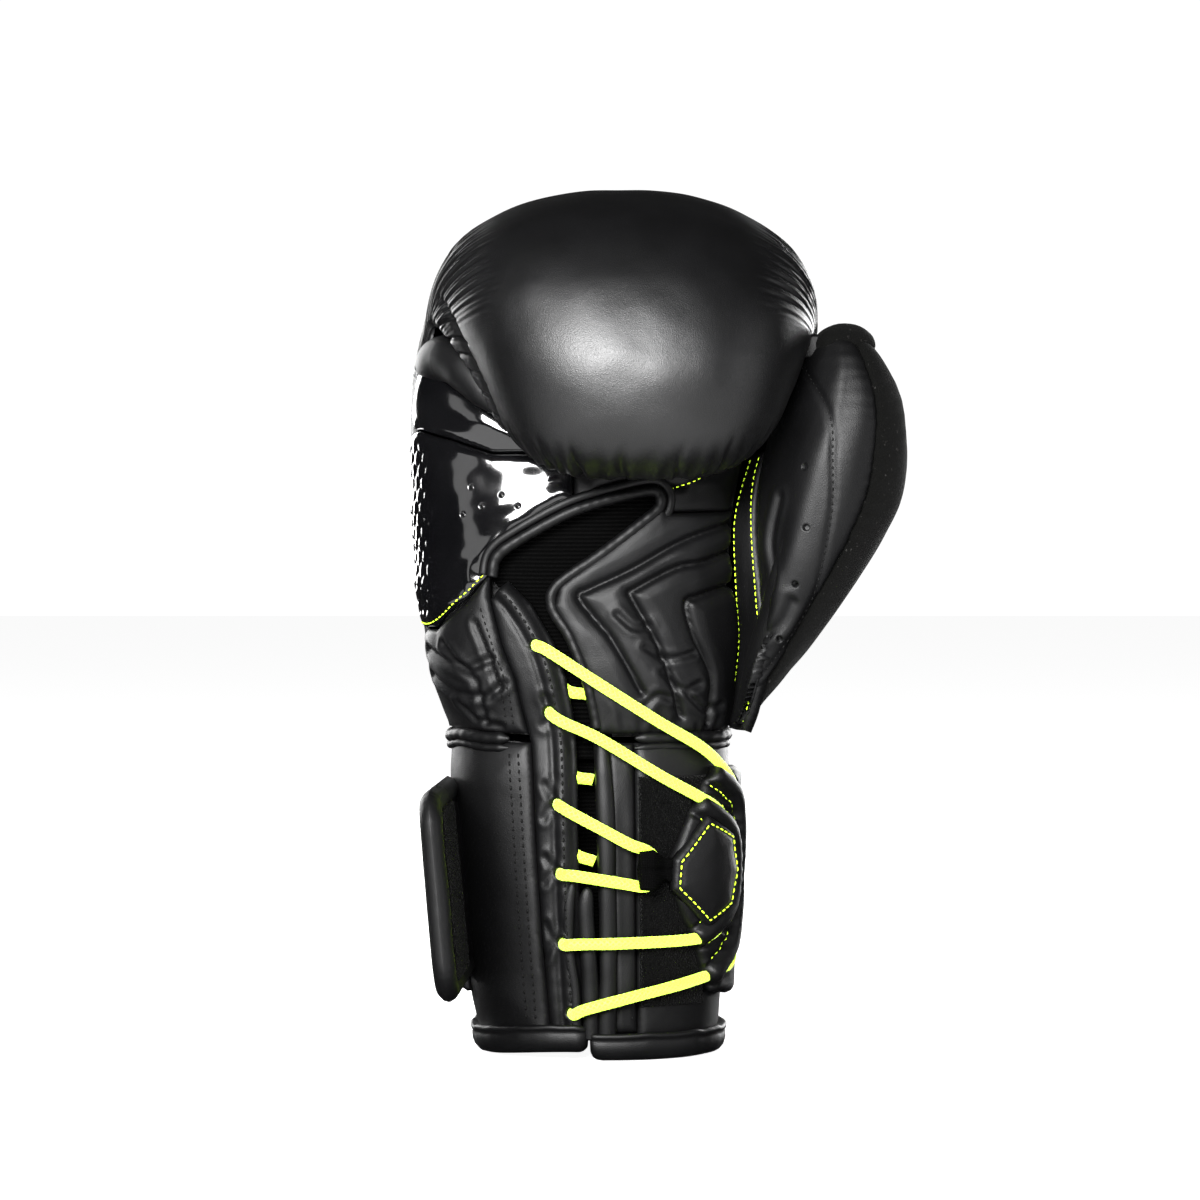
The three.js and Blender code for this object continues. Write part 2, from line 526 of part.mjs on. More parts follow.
const bar = new THREE.CylinderGeometry(GRIP.radius, GRIP.radius, GRIP.right - GRIP.left, 14);
bar.rotateZ(Math.PI / 2).translate((GRIP.left + GRIP.right) / 2, GRIP.y, GRIP.z);
add("grip_bar", solid(bar), cloth);
add("finger_end_cap", shell(core, [181, 226], [243.4, 249], 0, LEATHER)
  .intersect(prism([[-80, 243.4], [-30.5, 243.4], [-30.5, 249], [-80, 249]], [-110, 30])), leather);

// ---- thumb ----
const THUMB_WALL = 7;
const THUMB_GAP = 1.6; // room under the leather for its coarser facets
const thumbZ = [125, 266];
const thumbShell = (range, outer, inner, zs = thumbZ) => shell(thumb, range, zs, outer, inner, 24, 14);
const thumbCap = filled(thumb, [266.4, 268], 0.2, 16, 1);
add("thumb_back_cover", thumbShell([-68, 118], 0, LEATHER), suede);
add("thumb_front_cover", thumbShell([222, 291.4], 0, LEATHER), leather);
add("thumb_inner_cover", thumbShell([118.6, 221.4], 0, LEATHER).subtract(thumbPassage), leather);
add("thumb_cap", thumbCap, leather);
const thumbPad = LEATHER + THUMB_GAP;
const thumbPadInner = (wall) => (degrees, z) => {
  const s = at(THUMB, z);
  return Math.min(thumbPad + wall, (s.right - s.left) / 2 - 2);
};
add("thumb_pad_outer", thumbShell([270, 448], thumbPad, thumbPadInner(THUMB_WALL), [136, 256]), foam);
add("thumb_pad_inner",
  thumbShell([90, 269], thumbPad, thumbPadInner(3), [136, 256]).subtract(thumbPassage), foam);
add("thumb_tab", block([80.6, 92], [-34, -24], [268.4, 270.6]), leather);

export default glove;
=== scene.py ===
"""A right-hand boxing glove, standing on its cuff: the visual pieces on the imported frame.

Millimetres in the glove's own axes (the cuff's axis at 0, 0) until place() turns them into
the frame's metres. Front outlines are [x, z] seen from the palm side; the first number of
a corner that lies round the side is an angle in degrees, which is always over 100.
"""

import math

import bpy
import numpy as np
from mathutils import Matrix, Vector
from mathutils.geometry import delaunay_2d_cdt


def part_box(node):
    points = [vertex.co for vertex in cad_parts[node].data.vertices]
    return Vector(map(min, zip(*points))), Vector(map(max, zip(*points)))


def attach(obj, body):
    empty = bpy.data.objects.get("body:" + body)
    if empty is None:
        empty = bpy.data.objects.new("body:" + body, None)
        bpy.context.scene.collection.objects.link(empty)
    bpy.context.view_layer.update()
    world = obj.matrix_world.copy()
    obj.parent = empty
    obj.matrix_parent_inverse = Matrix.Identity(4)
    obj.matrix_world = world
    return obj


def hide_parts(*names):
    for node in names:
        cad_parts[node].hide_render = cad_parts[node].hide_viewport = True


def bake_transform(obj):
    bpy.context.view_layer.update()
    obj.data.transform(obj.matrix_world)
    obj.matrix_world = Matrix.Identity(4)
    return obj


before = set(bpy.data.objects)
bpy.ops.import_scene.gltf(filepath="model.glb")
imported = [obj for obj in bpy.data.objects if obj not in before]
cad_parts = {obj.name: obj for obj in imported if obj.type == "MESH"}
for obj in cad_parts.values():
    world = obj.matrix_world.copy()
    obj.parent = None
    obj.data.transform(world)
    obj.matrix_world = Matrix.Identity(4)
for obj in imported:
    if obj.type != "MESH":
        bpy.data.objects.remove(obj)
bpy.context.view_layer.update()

# ---- the glove's axes in the frame ----
MM = 0.001
BAR_CENTRE = (-3.0, -12.0)  # the grip bar's middle, from the cuff's axis
bar_low, bar_high = (np.array(c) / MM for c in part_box("grip_bar"))
AXIS = (bar_low + bar_high)[:2] / 2 - BAR_CENTRE


def place(points):
    """Glove millimetres to the frame's metres."""
    points = np.asarray(points, float).reshape(-1, 3).copy()
    points[:, :2] += AXIS
    return points * MM


# ---- camera, floor and lights ----
ROOM_LIGHT = 0.02  # the room as reflected in the glove
CAMERA = {"away": 1500.0, "height": 190.0, "aim": 168.6, "front": -44.0, "width": 438.0}


def make_camera():
    data = bpy.data.cameras.new("camera")
    camera = bpy.data.objects.new("camera", data)
    bpy.context.scene.collection.objects.link(camera)
    away = CAMERA["front"] - CAMERA["away"]
    camera.location = Vector(place([0, away, CAMERA["height"]])[0])
    camera.rotation_euler = (math.pi / 2, 0, 0)
    data.lens = data.sensor_width * CAMERA["away"] / CAMERA["width"]
    data.shift_y = (CAMERA["aim"] - CAMERA["height"]) / CAMERA["width"]
    bpy.context.scene.camera = camera


def area_light(name, place_m, aim_m, size, power):
    data = bpy.data.lights.new(name, "AREA")
    data.shape = "RECTANGLE"
    data.size, data.size_y = size
    data.energy = power
    lamp = bpy.data.objects.new(name, data)
    lamp.location = place_m
    lamp.rotation_euler = (Vector(aim_m) - Vector(place_m)).to_track_quat("-Z", "Y").to_euler()
    bpy.context.scene.collection.objects.link(lamp)
    return lamp


def make_stage():
    """A white room to the camera, dimmer in reflections, with soft boxes and a white floor."""
    scene = bpy.context.scene
    scene.view_settings.view_transform = "Standard"
    scene.view_settings.look = "None"
    world = bpy.data.worlds.new("studio")
    world.use_nodes = True
    nodes, links = world.node_tree.nodes, world.node_tree.links
    seen = nodes.new("ShaderNodeLightPath")
    level = nodes.new("ShaderNodeMapRange")
    level.inputs["To Min"].default_value = ROOM_LIGHT
    level.inputs["To Max"].default_value = 1.05
    links.new(seen.outputs["Is Camera Ray"], level.inputs["Value"])
    links.new(level.outputs["Result"], nodes["Background"].inputs["Strength"])
    nodes["Background"].inputs["Color"].default_value = (1, 1, 1, 1)
    scene.world = world
    middle = (0.0, 0.0, 0.19)
    area_light("key", (-0.34, -1.3, 0.68), (0.0, -0.06, 0.24), (0.84, 0.5), 92)
    area_light("fill_left", (-1.2, -0.95, 0.5), middle, (0.36, 0.9), 1.6)
    area_light("fill_right", (1.4, -0.6, 0.4), middle, (0.16, 0.9), 4)
    paper = area_light("paper_glow", (0.0, -0.64, 0.006), (0.0, -0.639, 1.0), (1.5, 1.0), 9)
    paper.visible_camera = False
    area_light("back_left", (-0.9, 1.3, 0.5), middle, (0.8, 0.8), 20)
    area_light("back_right", (0.8, 1.4, 0.4), middle, (0.8, 0.8), 26)
    corners = np.array([[-9, -9, 0], [9, -9, 0], [-9, 9, 0], [9, 9, 0]], float)
    floor = grid_object("floor", corners, 2, 2)
    floor.data.materials.append(floor_material())
    floor.visible_glossy = False


# ---- numbers ----
def noise(points, scale, seed=0):
    """Smooth noise from -1 to 1 at points, with features about scale across."""
    p = np.asarray(points, float) / np.asarray(scale, float) + 31.7 * seed + 1000.0
    base = np.floor(p).astype(np.int64)
    f = p - base
    w = f * f * (3 - 2 * f)
    total = np.zeros(len(p))
    for corner in np.ndindex(*(2,) * p.shape[1]):
        cell = base + np.array(corner)
        h = np.zeros(len(p), np.int64)
        for axis in range(p.shape[1]):
            h = (h * 73856093 + cell[:, axis] * (19349663 + 83492791 * axis)) & 0x7FFFFFFF
            h = ((h ^ (h >> 13)) * 1274126177) & 0x7FFFFFFF
        value = (h / 0x7FFFFFFF) * 2 - 1
        weight = np.ones(len(p))
        for axis, high in enumerate(corner):
            weight *= w[:, axis] if high else 1 - w[:, axis]
        total += value * weight
    return total


def smooth(low, high, x):
    t = np.clip((np.asarray(x, float) - low) / (high - low), 0, 1)
    return t * t * (3 - 2 * t)


def bell(distance, width):
    return np.exp(-((np.asarray(distance, float) / width) ** 2))


def rounded(c, squareness=2.3):
    return np.sign(c) * np.abs(c) ** (2 / squareness)


def dense(line, step):
    """The same polyline with a point at least every step."""
    line = np.asarray(line, float)
    out = [line[:1]]
    for a, b in zip(line[:-1], line[1:]):
        n = max(1, int(math.ceil(np.linalg.norm(b - a) / step)))
        t = np.linspace(0, 1, n + 1)[1:, None]
        out.append(a + (b - a) * t)
    return np.concatenate(out)


def curve(points, step):
    """A smooth line through the points (Catmull-Rom), evenly spaced."""
    p = np.asarray(points, float)
    p = np.concatenate([2 * p[:1] - p[1:2], p, 2 * p[-1:] - p[-2:-1]])
    out = []
    for i in range(1, len(p) - 2):
        t = np.linspace(0, 1, 25)[:-1, None]
        a, b, c, d = p[i - 1], p[i], p[i + 1], p[i + 2]
        out.append(0.5 * (2 * b + (c - a) * t + (2 * a - 5 * b + 4 * c - d) * t**2
                          + (3 * b - a - 3 * c + d) * t**3))
    line = np.concatenate(out + [p[-2:-1]])
    run = np.concatenate([[0], np.cumsum(np.linalg.norm(np.diff(line, axis=0), axis=1))])
    n = max(2, int(round(run[-1] / step)) + 1)
    at = np.linspace(0, run[-1], n)
    return np.stack([np.interp(at, run, line[:, k]) for k in range(line.shape[1])], axis=1)


def distance_to(points, line):
    """Distance of each 2-D point from a polyline."""
    points = np.asarray(points, float)
    line = np.asarray(line, float)
    best = np.full(len(points), 1e9)
    for a, b in zip(line[:-1], line[1:]):
        d = b - a
        length2 = max(float(d @ d), 1e-9)
        t = np.clip(((points - a) @ d) / length2, 0, 1)[:, None]
        best = np.minimum(best, np.linalg.norm(points - a - t * d, axis=1))
    return best


def inside(points, outline):
    x, y = points[:, 0], points[:, 1]
    found = np.zeros(len(points), bool)
    for (x0, y0), (x1, y1) in zip(outline, np.roll(outline, -1, axis=0)):
        crosses = (y0 > y) != (y1 > y)
        with np.errstate(divide="ignore", invalid="ignore"):
            at = x0 + (y - y0) * (x1 - x0) / (y1 - y0)
        found ^= crosses & (x < at)
    return found


# ---- surfaces, as part of the frame ----
CORE = dict(
    z=[0, 8, 35, 70, 105, 120, 140, 165, 200, 230, 262],
    left=[-43.5, -45.5, -48, -51.5, -55, -56.5, -63.5, -68, -70.5, -71, -66.5],
    right=[43, 44.5, 45.5, 46.8, 48, 48, 51.5, 55, 59, 63, 66],
    front=[-42, -43, -44.5, -46, -45, -42, -44, -42, -38, -35, -33],
    back=[43, 44, 45, 46, 44, 43.5, 50, 56, 61, 62, 58],
    mid=[0, 0, 0, 0, 1, 2, 4, 4, 3, 1, -4],
)
CURL = dict(
    u=[0, 1, 2, 3, 4, 5, 6, 7, 8, 9, 10, 11, 12, 13, 14, 15],
    left=[-56.5, -65.7, -70, -71.3, -70.5, -68, -66, -65, -63, -57.5, -49.5, -42, -36, -30, -24, -20],
    right=[48, 53, 58.5, 65, 73, 78, 80.5, 80.5, 80, 78.5, 75.5, 71, 65, 58, 50, 45],
    crest_y=[43.5, 53, 60.5, 63, 57, 39, 10, -21, -53, -77, -88, -87.5, -81, -68, -54, -47],
    crest_z=[120.5, 152, 194, 238, 276, 303, 318, 321, 310, 286, 258, 235, 219.5, 212, 214, 222],
    rim_y=[2, 4, 3, 0, -4, -8, -11, -15, -20, -26, -32, -37, -41, -44, -46, -46],
    rim_z=[120.5, 152, 192, 227, 247, 257, 263, 267, 269, 266, 258, 247, 237, 231, 228, 228],
)
THUMB = dict(
    z=[123, 132, 147, 162, 177, 192, 207, 222, 237, 251, 262, 268],
    left=[50, 50.5, 52, 54, 56, 58.5, 61.5, 66, 74, 79.5, 82.5, 85.5],
    right=[56, 61, 73, 84.5, 94.5, 103.5, 110, 112, 110.5, 106, 100, 93],
    front=[-26, -34, -41, -46, -50, -52, -53, -53, -51, -47, -41, -36],
    back=[-8, 2, 11, 15, 15, 12, 8, 3, -3, -10, -18, -24],
    mid=[-16, -13, -12, -13, -15, -18, -21, -24, -27, -29, -30, -30],
)


def at(table, value):
    """A smooth curve through the stations of a table, read at each value of its first field."""
    keys = list(table)
    key = np.array(table[keys[0]], float)
    value = np.asarray(value, float)
    i = np.clip(np.searchsorted(key, value, side="right") - 1, 0, len(key) - 2)
    before, after = np.maximum(i - 1, 0), np.minimum(i + 2, len(key) - 1)
    span = key[i + 1] - key[i]
    t = (value - key[i]) / span
    found = {}
    for k in keys[1:]:
        v = np.array(table[k], float)
        start = (v[i + 1] - v[before]) / (key[i + 1] - key[before]) * span
        end = (v[after] - v[i]) / (key[after] - key[i]) * span
        found[k] = ((2 * t**3 - 3 * t**2 + 1) * v[i] + (t**3 - 2 * t**2 + t) * start
                    + (3 * t**2 - 2 * t**3) * v[i + 1] + (t**3 - t**2) * end)
    return found


def section(table, degrees, z, inset):
    """Points of a stack of horizontal sections: 0 is +X, 90 the back, 180 left, 270 the front."""
    s = at(table, z)
    turn = np.radians(degrees)
    depth = np.where(np.sin(turn) > 0, s["back"] - s["mid"], s["mid"] - s["front"])
    x = (s["left"] + s["right"]) / 2 + ((s["right"] - s["left"]) / 2 - inset) * rounded(np.cos(turn))
    y = s["mid"] + (depth - inset) * rounded(np.sin(turn))
    return np.stack([x, y, z + 0 * x], axis=-1)


def core(degrees, z, inset=0.0):
    return section(CORE, degrees, z, inset)


def thumb(degrees, z, inset=0.0):
    """The thumb's sections, drawn in towards the rounded tip."""
    return section(THUMB, degrees, z, inset + 2.2 * np.square(smooth(252.0, 269.0, z)))


def curl(v, u, inset=0.0):
    """Points of the main padding: v runs from -1 at its left rim over the crest to 1."""
    s = at(CURL, u)
    side = np.where(inset < 3, inset, 3 + (inset - 3) * 0.5)
    across = v * math.pi / 2
    rise_y, rise_z = s["crest_y"] - s["rim_y"], s["crest_z"] - s["rim_z"]
    length = np.hypot(rise_y, rise_z)
    scale = (length - inset) / length * rounded(np.cos(across))
    x = (s["left"] + s["right"]) / 2 + ((s["right"] - s["left"]) / 2 - side) * rounded(np.sin(across))
    return np.stack([x, s["rim_y"] + rise_y * scale, s["rim_z"] + rise_z * scale], axis=-1)


# ---- meshes ----
def mesh_object(name, points, faces, uv=None):
    mesh = bpy.data.meshes.new(name)
    mesh.from_pydata([tuple(p) for p in points], [], [tuple(int(i) for i in f) for f in faces])
    mesh.update()
    if uv is not None:
        layer = mesh.uv_layers.new(name="along")
        loops = np.zeros(len(mesh.loops), np.int64)
        mesh.loops.foreach_get("vertex_index", loops)
        layer.data.foreach_set("uv", np.asarray(uv, float)[loops].reshape(-1))
    mesh.shade_smooth()
    obj = bpy.data.objects.new(name, mesh)
    bpy.context.scene.collection.objects.link(obj)
    return obj


def grid_faces(rows, columns, offset=0, closed=False, flip=False):
    faces = []
    for j in range(rows - 1):
        for i in range(columns - (0 if closed else 1)):
            a, b = j * columns + i, j * columns + (i + 1) % columns
            face = (a, b, b + columns, a + columns)
            faces.append(tuple(offset + k for k in (reversed(face) if flip else face)))
    return faces


def grid_object(name, points, rows, columns):
    return mesh_object(name, points, grid_faces(rows, columns))


def slab(name, outer, inner, rows, columns):
    """A closed sheet between two grids of points."""
    n = rows * columns
    faces = grid_faces(rows, columns) + grid_faces(rows, columns, n, flip=True)
    rim = ([j * columns for j in range(rows)][::-1]
           + list(range(1, columns)) + [j * columns + columns - 1 for j in range(1, rows)]
           + [(rows - 1) * columns + i for i in range(columns - 2, 0, -1)])
    for a, b in zip(rim, rim[1:] + rim[:1]):
        faces.append((a, a + n, b + n, b))
    return mesh_object(name, np.concatenate([outer.reshape(-1, 3), inner.reshape(-1, 3)]), faces)


def tube(name, line, radius, sides=12, flat=1.0, normals=None):
    """A round or flattened tube along 3-D points in metres. radius may vary along it."""
    line = np.asarray(line, float)
    n = len(line)
    radius = np.broadcast_to(np.asarray(radius, float), (n,))
    tangent = np.gradient(line, axis=0)
    tangent /= np.linalg.norm(tangent, axis=1)[:, None]
    if normals is None:
        up = np.array([0.31, -0.9, 0.29])
        normal = np.empty_like(line)
        for i, t in enumerate(tangent):
            up = up - t * (up @ t)
            up /= np.linalg.norm(up)
            normal[i] = up
    else:
        normal = np.asarray(normals, float)
        normal = normal - tangent * np.sum(normal * tangent, axis=1)[:, None]
        normal /= np.linalg.norm(normal, axis=1)[:, None]
    side = np.cross(tangent, normal)
    turn = np.linspace(0, 2 * math.pi, sides, endpoint=False)
    rings = (line[:, None] + radius[:, None, None] * (
        side[:, None] * np.cos(turn)[None, :, None]
        + flat * normal[:, None] * np.sin(turn)[None, :, None]))
    points = rings.reshape(-1, 3)
    faces = grid_faces(n, sides, closed=True)
    run = np.concatenate([[0], np.cumsum(np.linalg.norm(np.diff(line, axis=0), axis=1))])
    uv = np.stack([np.tile(turn / (2 * math.pi), n), np.repeat(run, sides)], axis=1)
    points = np.concatenate([points, line[:1], line[-1:]])
    uv = np.concatenate([uv, uv[:1], uv[-1:]])
    first, last = n * sides, n * sides + 1
    for i in range(sides):
        j = (i + 1) % sides
        faces.append((first, j, i))
        faces.append((last, (n - 1) * sides + i, (n - 1) * sides + j))
    return mesh_object(name, points, faces, uv)


def thread_dashes(name, runs, pitch, length, radius):
    """One mesh of short sewn threads. runs holds (points, normals), both in metres."""
    ring, stations = 6, 5
    points, faces = [], []
    profile = np.sin(np.linspace(0.12, math.pi - 0.12, stations)) ** 0.6
    turn = np.linspace(0, 2 * math.pi, ring, endpoint=False)
    for line, normals in runs:
        line, normals = np.asarray(line), np.asarray(normals)
        run = np.concatenate([[0], np.cumsum(np.linalg.norm(np.diff(line, axis=0), axis=1))])
        for start in np.arange(pitch * 0.3, run[-1] - length, pitch):
            s = np.linspace(start, start + length, stations)
            mid = np.stack([np.interp(s, run, line[:, k]) for k in range(3)], axis=1)
            nor = np.stack([np.interp(s, run, normals[:, k]) for k in range(3)], axis=1)
            sink = radius * (np.linspace(-1, 1, stations) ** 4) * 1.6
            mid = mid + nor * (radius * 0.35 - sink)[:, None]
            tangent = mid[-1] - mid[0]
            tangent /= np.linalg.norm(tangent)
            side = np.cross(nor[2], tangent)
            side /= np.linalg.norm(side)
            up = np.cross(tangent, side)
            base = len(points)
            for k in range(stations):
                r = radius * profile[k]
                for a in turn:
                    points.append(mid[k] + r * (side * math.cos(a) + up * math.sin(a)))
            faces += [tuple(f) for f in grid_faces(stations, ring, base, closed=True)]
            faces.append(tuple(base + i for i in range(ring))[::-1])
            faces.append(tuple(base + (stations - 1) * ring + i for i in range(ring)))
    return mesh_object(name, points, faces)


# ---- unrolled surfaces and the panels cut from them ----
class Unrolled:
    """A stack of sections laid flat: s runs round it from its front middle, z up it."""

    def __init__(self, surface, low, high, turns=(0.0, 650.0), zero=270.0, front=(181.0, 359.0)):
        self.surface = surface
        self.z = np.arange(low, high + 2.0, 2.0)
        self.degrees = np.arange(turns[0], turns[1] + 0.5, 1.0)
        deg, z = np.meshgrid(self.degrees, self.z)
        points = surface(deg, z)
        run = np.cumsum(np.linalg.norm(np.diff(points, axis=1), axis=2), axis=1)
        run = np.concatenate([np.zeros((len(self.z), 1)), run], axis=1)
        self.s = run - run[:, [int(zero - turns[0])]]
        self.front = np.arange(front[0], front[1] + 0.5, 1.0)
        self.grid = np.arange(self.s.min(), self.s.max() + 1.0, 1.0)
        self.turn = np.array([np.interp(self.grid, row, self.degrees) for row in self.s])

    def rows(self, z):
        r = np.clip((np.asarray(z, float) - self.z[0]) / 2.0, 0, len(self.z) - 1.001)
        low = np.floor(r).astype(int)
        return low, r - low

    def flat(self, corners):
        """Corners [x or degrees, z] laid flat. A first number over 100 is an angle."""
        out = []
        front = self.front
        for first, z in corners:
            degrees = first
            if first <= 113:
                x = self.surface(front, np.full(len(front), float(z)))[:, 0]
                degrees = np.interp(first, x, front)
            low, share = self.rows(z)
            column = (np.interp(degrees, self.degrees, self.s[low]),
                      np.interp(degrees, self.degrees, self.s[low + 1]))
            out.append([column[0] * (1 - share) + column[1] * share, z])
        return np.array(out, float)

    def lift(self, flat, height):
        """Places (s, z) and their outward normals, height millimetres off the surface."""
        s, z = flat[:, 0], flat[:, 1]
        row, up = self.rows(z)
        c = np.clip(s - self.grid[0], 0, len(self.grid) - 1.001)
        col = np.floor(c).astype(int)
        across = c - col
        turn = ((self.turn[row, col] * (1 - across) + self.turn[row, col + 1] * across) * (1 - up)
                + (self.turn[row + 1, col] * (1 - across) + self.turn[row + 1, col + 1] * across) * up)
        middle = self.surface(turn, z)
        round_it = self.surface(turn + 1.5, z) - self.surface(turn - 1.5, z)
        up_it = self.surface(turn, z + 1.0) - self.surface(turn, z - 1.0)
        normal = np.cross(round_it, up_it)
        normal /= np.linalg.norm(normal, axis=1)[:, None]
        return middle + normal * np.asarray(height, float).reshape(-1, 1), normal


class Plane:
    """A flat sheet: s runs along one axis, z along the other, height along the third."""

    def __init__(self, origin, along, up):
        self.origin, self.along, self.up = (np.array(v, float) for v in (origin, along, up))
        self.out = np.cross(self.along, self.up)

    def flat(self, corners):
        return np.array(corners, float)

    def lift(self, flat, height):
        height = np.asarray(height, float).reshape(-1, 1)
        points = self.origin + flat[:, :1] * self.along + flat[:, 1:2] * self.up + height * self.out
        return points, np.broadcast_to(self.out, points.shape)


class Panel:
    """One sewn panel: an outline on a sheet and the shape of its face."""

    def __init__(self, sheet, outline, height, flat=False, holes=()):
        self.sheet = sheet
        self.holes = holes
        self.outline = np.array(outline, float) if flat else sheet.flat(outline)
        self.closed = np.concatenate([self.outline, self.outline[:1]])
        self.height = height

    def heights(self, points):
        return self.height(points, distance_to(points, self.closed))

    def on(self, line, flat=False, step=0.8, lift=0.0):
        """A line drawn on the panel's face: its points and normals in metres."""
        line = np.array(line, float) if flat else self.sheet.flat(line)
        line = curve(line, step) if len(line) > 2 else dense(line, step)
        points, normals = self.sheet.lift(line, self.heights(line) + lift)
        return place(points), normals

    def build(self, name, material, step=1.3, thick=3.0):
        edge = dense(self.closed, step)[:-1]
        low, high = edge.min(axis=0), edge.max(axis=0)
        rows = np.arange(low[1], high[1], step * 0.87)
        inner = []
        for j, z in enumerate(rows):
            s = np.arange(low[0] + (j % 2) * step / 2, high[0], step)
            inner.append(np.stack([s, np.full(len(s), z)], axis=1))
        inner = np.concatenate(inner)
        for hole in self.holes:
            inner = inner[np.linalg.norm(inner - hole, axis=1) > 2.9]
        for hole in self.holes:
            inner = np.concatenate([inner, rings_round(hole)])
        inner = inner[inside(inner, edge)]
        inner = inner[distance_to(inner, np.concatenate([edge, edge[:1]])) > step * 0.5]
        points = [Vector(p) for p in np.concatenate([edge, inner])]
        made = delaunay_2d_cdt(points, [], [list(range(len(edge)))], 1, 1e-6)
        flat = np.array([tuple(v) for v in made[0]], float)
        n = len(flat)
        faces = []
        for a, b, c in made[2]:
            turned = np.cross(flat[b] - flat[a], flat[c] - flat[a]) < 0
            faces.append((a, c, b) if turned else (a, b, c))
        heights = self.heights(flat)
        outer, _ = self.sheet.lift(flat, heights)
        depth = thick(flat, heights) if callable(thick) else heights - thick
        under, _ = self.sheet.lift(flat, depth)
        edges = {}
        for face in faces:
            for i in range(3):
                edges[(face[i], face[(i + 1) % 3])] = True
        walls = [(b, a, a + n, b + n) for a, b in edges if (b, a) not in edges]
        back = [(c + n, b + n, a + n) for a, b, c in faces]
        obj = mesh_object(name, place(np.concatenate([outer, under])), faces + back + walls,
                          np.concatenate([flat, flat]) * MM)
        obj.data.materials.append(material)
        return obj


def rings_round(centre, radii=(0.4, 0.8, 1.15, 1.5, 1.95, 2.5)):
    """Points on rings about a hole's middle, so that its rim is drawn sharply."""
    turn = np.linspace(0, 2 * math.pi, 14, endpoint=False)
    rings = [centre + r * np.stack([np.cos(turn + r), np.sin(turn + r)], axis=1) for r in radii]
    return np.concatenate([[centre]] + rings)


def crown(edge, sink=1.6, width=4.0, rise=0.0, broad=18.0):
    """Height across a panel that dips to its seams and swells to its middle."""
    t = np.clip(edge / width, 0, 1)
    return -sink * (1 - np.sqrt(1 - (1 - t) ** 2)) + rise * smooth(0, broad, edge)


def crease(points, line, depth, width, lip=0.0):
    """A fold pressed along a line, with its leather pushed up beside it."""
    d = distance_to(points, line)
    return -depth * bell(d, width) + lip * bell(d - width * 2.2, width * 1.1)


# ---- materials ----
class Nodes:
    """A short way to build one material's node tree."""

    def __init__(self, name):
        self.material = bpy.data.materials.new(name)
        self.material.use_nodes = True
        self.tree = self.material.node_tree
        self.shader = self.tree.nodes["Principled BSDF"]
        self.coords = self.tree.nodes.new("ShaderNodeTexCoord")

    def add(self, kind, **settings):
        node = self.tree.nodes.new(kind)
        for key, value in settings.items():
            if hasattr(node, key):
                setattr(node, key, value)
            else:
                node.inputs[key.replace("_", " ")].default_value = value
        return node

    def link(self, source, target):
        self.tree.links.new(source, target)

    def noise(self, scale, detail=3.0):
        node = self.add("ShaderNodeTexNoise", Scale=scale, Detail=detail)
        self.link(self.coords.outputs["Object"], node.inputs["Vector"])
        return node.outputs["Fac"]

    def cells(self, scale, feature="DISTANCE_TO_EDGE"):
        node = self.add("ShaderNodeTexVoronoi", feature=feature, Scale=scale)
        self.link(self.coords.outputs["Object"], node.inputs["Vector"])
        return node.outputs["Distance"]

    def wave(self, scale, axis):
        node = self.add("ShaderNodeTexWave", bands_direction=axis, Scale=scale)
        self.link(self.coords.outputs["UV"], node.inputs["Vector"])
        return node.outputs["Fac"]

    def math(self, operation, a, b):
        node = self.add("ShaderNodeMath", operation=operation)
        for i, value in enumerate((a, b)):
            if isinstance(value, (int, float)):
                node.inputs[i].default_value = value
            else:
                self.link(value, node.inputs[i])
        return node.outputs[0]

    def ramp(self, source, low, high, dark, light):
        node = self.add("ShaderNodeValToRGB")
        node.color_ramp.elements[0].position = low
        node.color_ramp.elements[1].position = high
        node.color_ramp.elements[0].color = (*dark, 1)
        node.color_ramp.elements[1].color = (*light, 1)
        self.link(source, node.inputs["Fac"])
        return node.outputs["Color"]

    def range(self, source, low, high):
        node = self.add("ShaderNodeMapRange")
        node.inputs["To Min"].default_value = low
        node.inputs["To Max"].default_value = high
        self.link(source, node.inputs["Value"])
        return node.outputs["Result"]

    def bump(self, source, strength, distance, below=None):
        node = self.add("ShaderNodeBump")
        node.inputs["Strength"].default_value = strength
        node.inputs["Distance"].default_value = distance
        self.link(source, node.inputs["Height"])
        if below is not None:
            self.link(below, node.inputs["Normal"])
        return node.outputs["Normal"]

    def set(self, **inputs):
        for key, value in inputs.items():
            socket = self.shader.inputs[key.replace("_", " ")]
            if isinstance(value, (int, float, tuple)):
                socket.default_value = value
            else:
                self.link(value, socket)
        return self.material


def leather_material(name, dark, light, rough, grain=900.0, depth=0.00025, specular=0.42):
    m = Nodes(name)
    cells = m.cells(grain)
    soft = m.noise(90.0, 4.0)
    normal = m.bump(cells, 0.32, depth, m.bump(soft, 0.22, 0.0009))
    colour = m.ramp(m.noise(45.0, 5.0), 0.3, 0.7, dark, light)
    return m.set(Base_Color=colour, Roughness=m.range(m.noise(60.0, 3.0), rough[0], rough[1]),
                 Normal=normal, Specular_IOR_Level=specular)


def patent_material():
    m = Nodes("patent")
    normal = m.bump(m.noise(200.0, 1.0), 0.05, 0.0006)
    colour = m.ramp(m.noise(30.0, 3.0), 0.3, 0.7, (0.0006, 0.0006, 0.0008), (0.0018, 0.0018, 0.002))
    return m.set(Base_Color=colour, Roughness=m.range(m.noise(120.0), 0.08, 0.14), Normal=normal,
                 Specular_IOR_Level=0.55, Coat_Weight=0.5, Coat_Roughness=0.06)


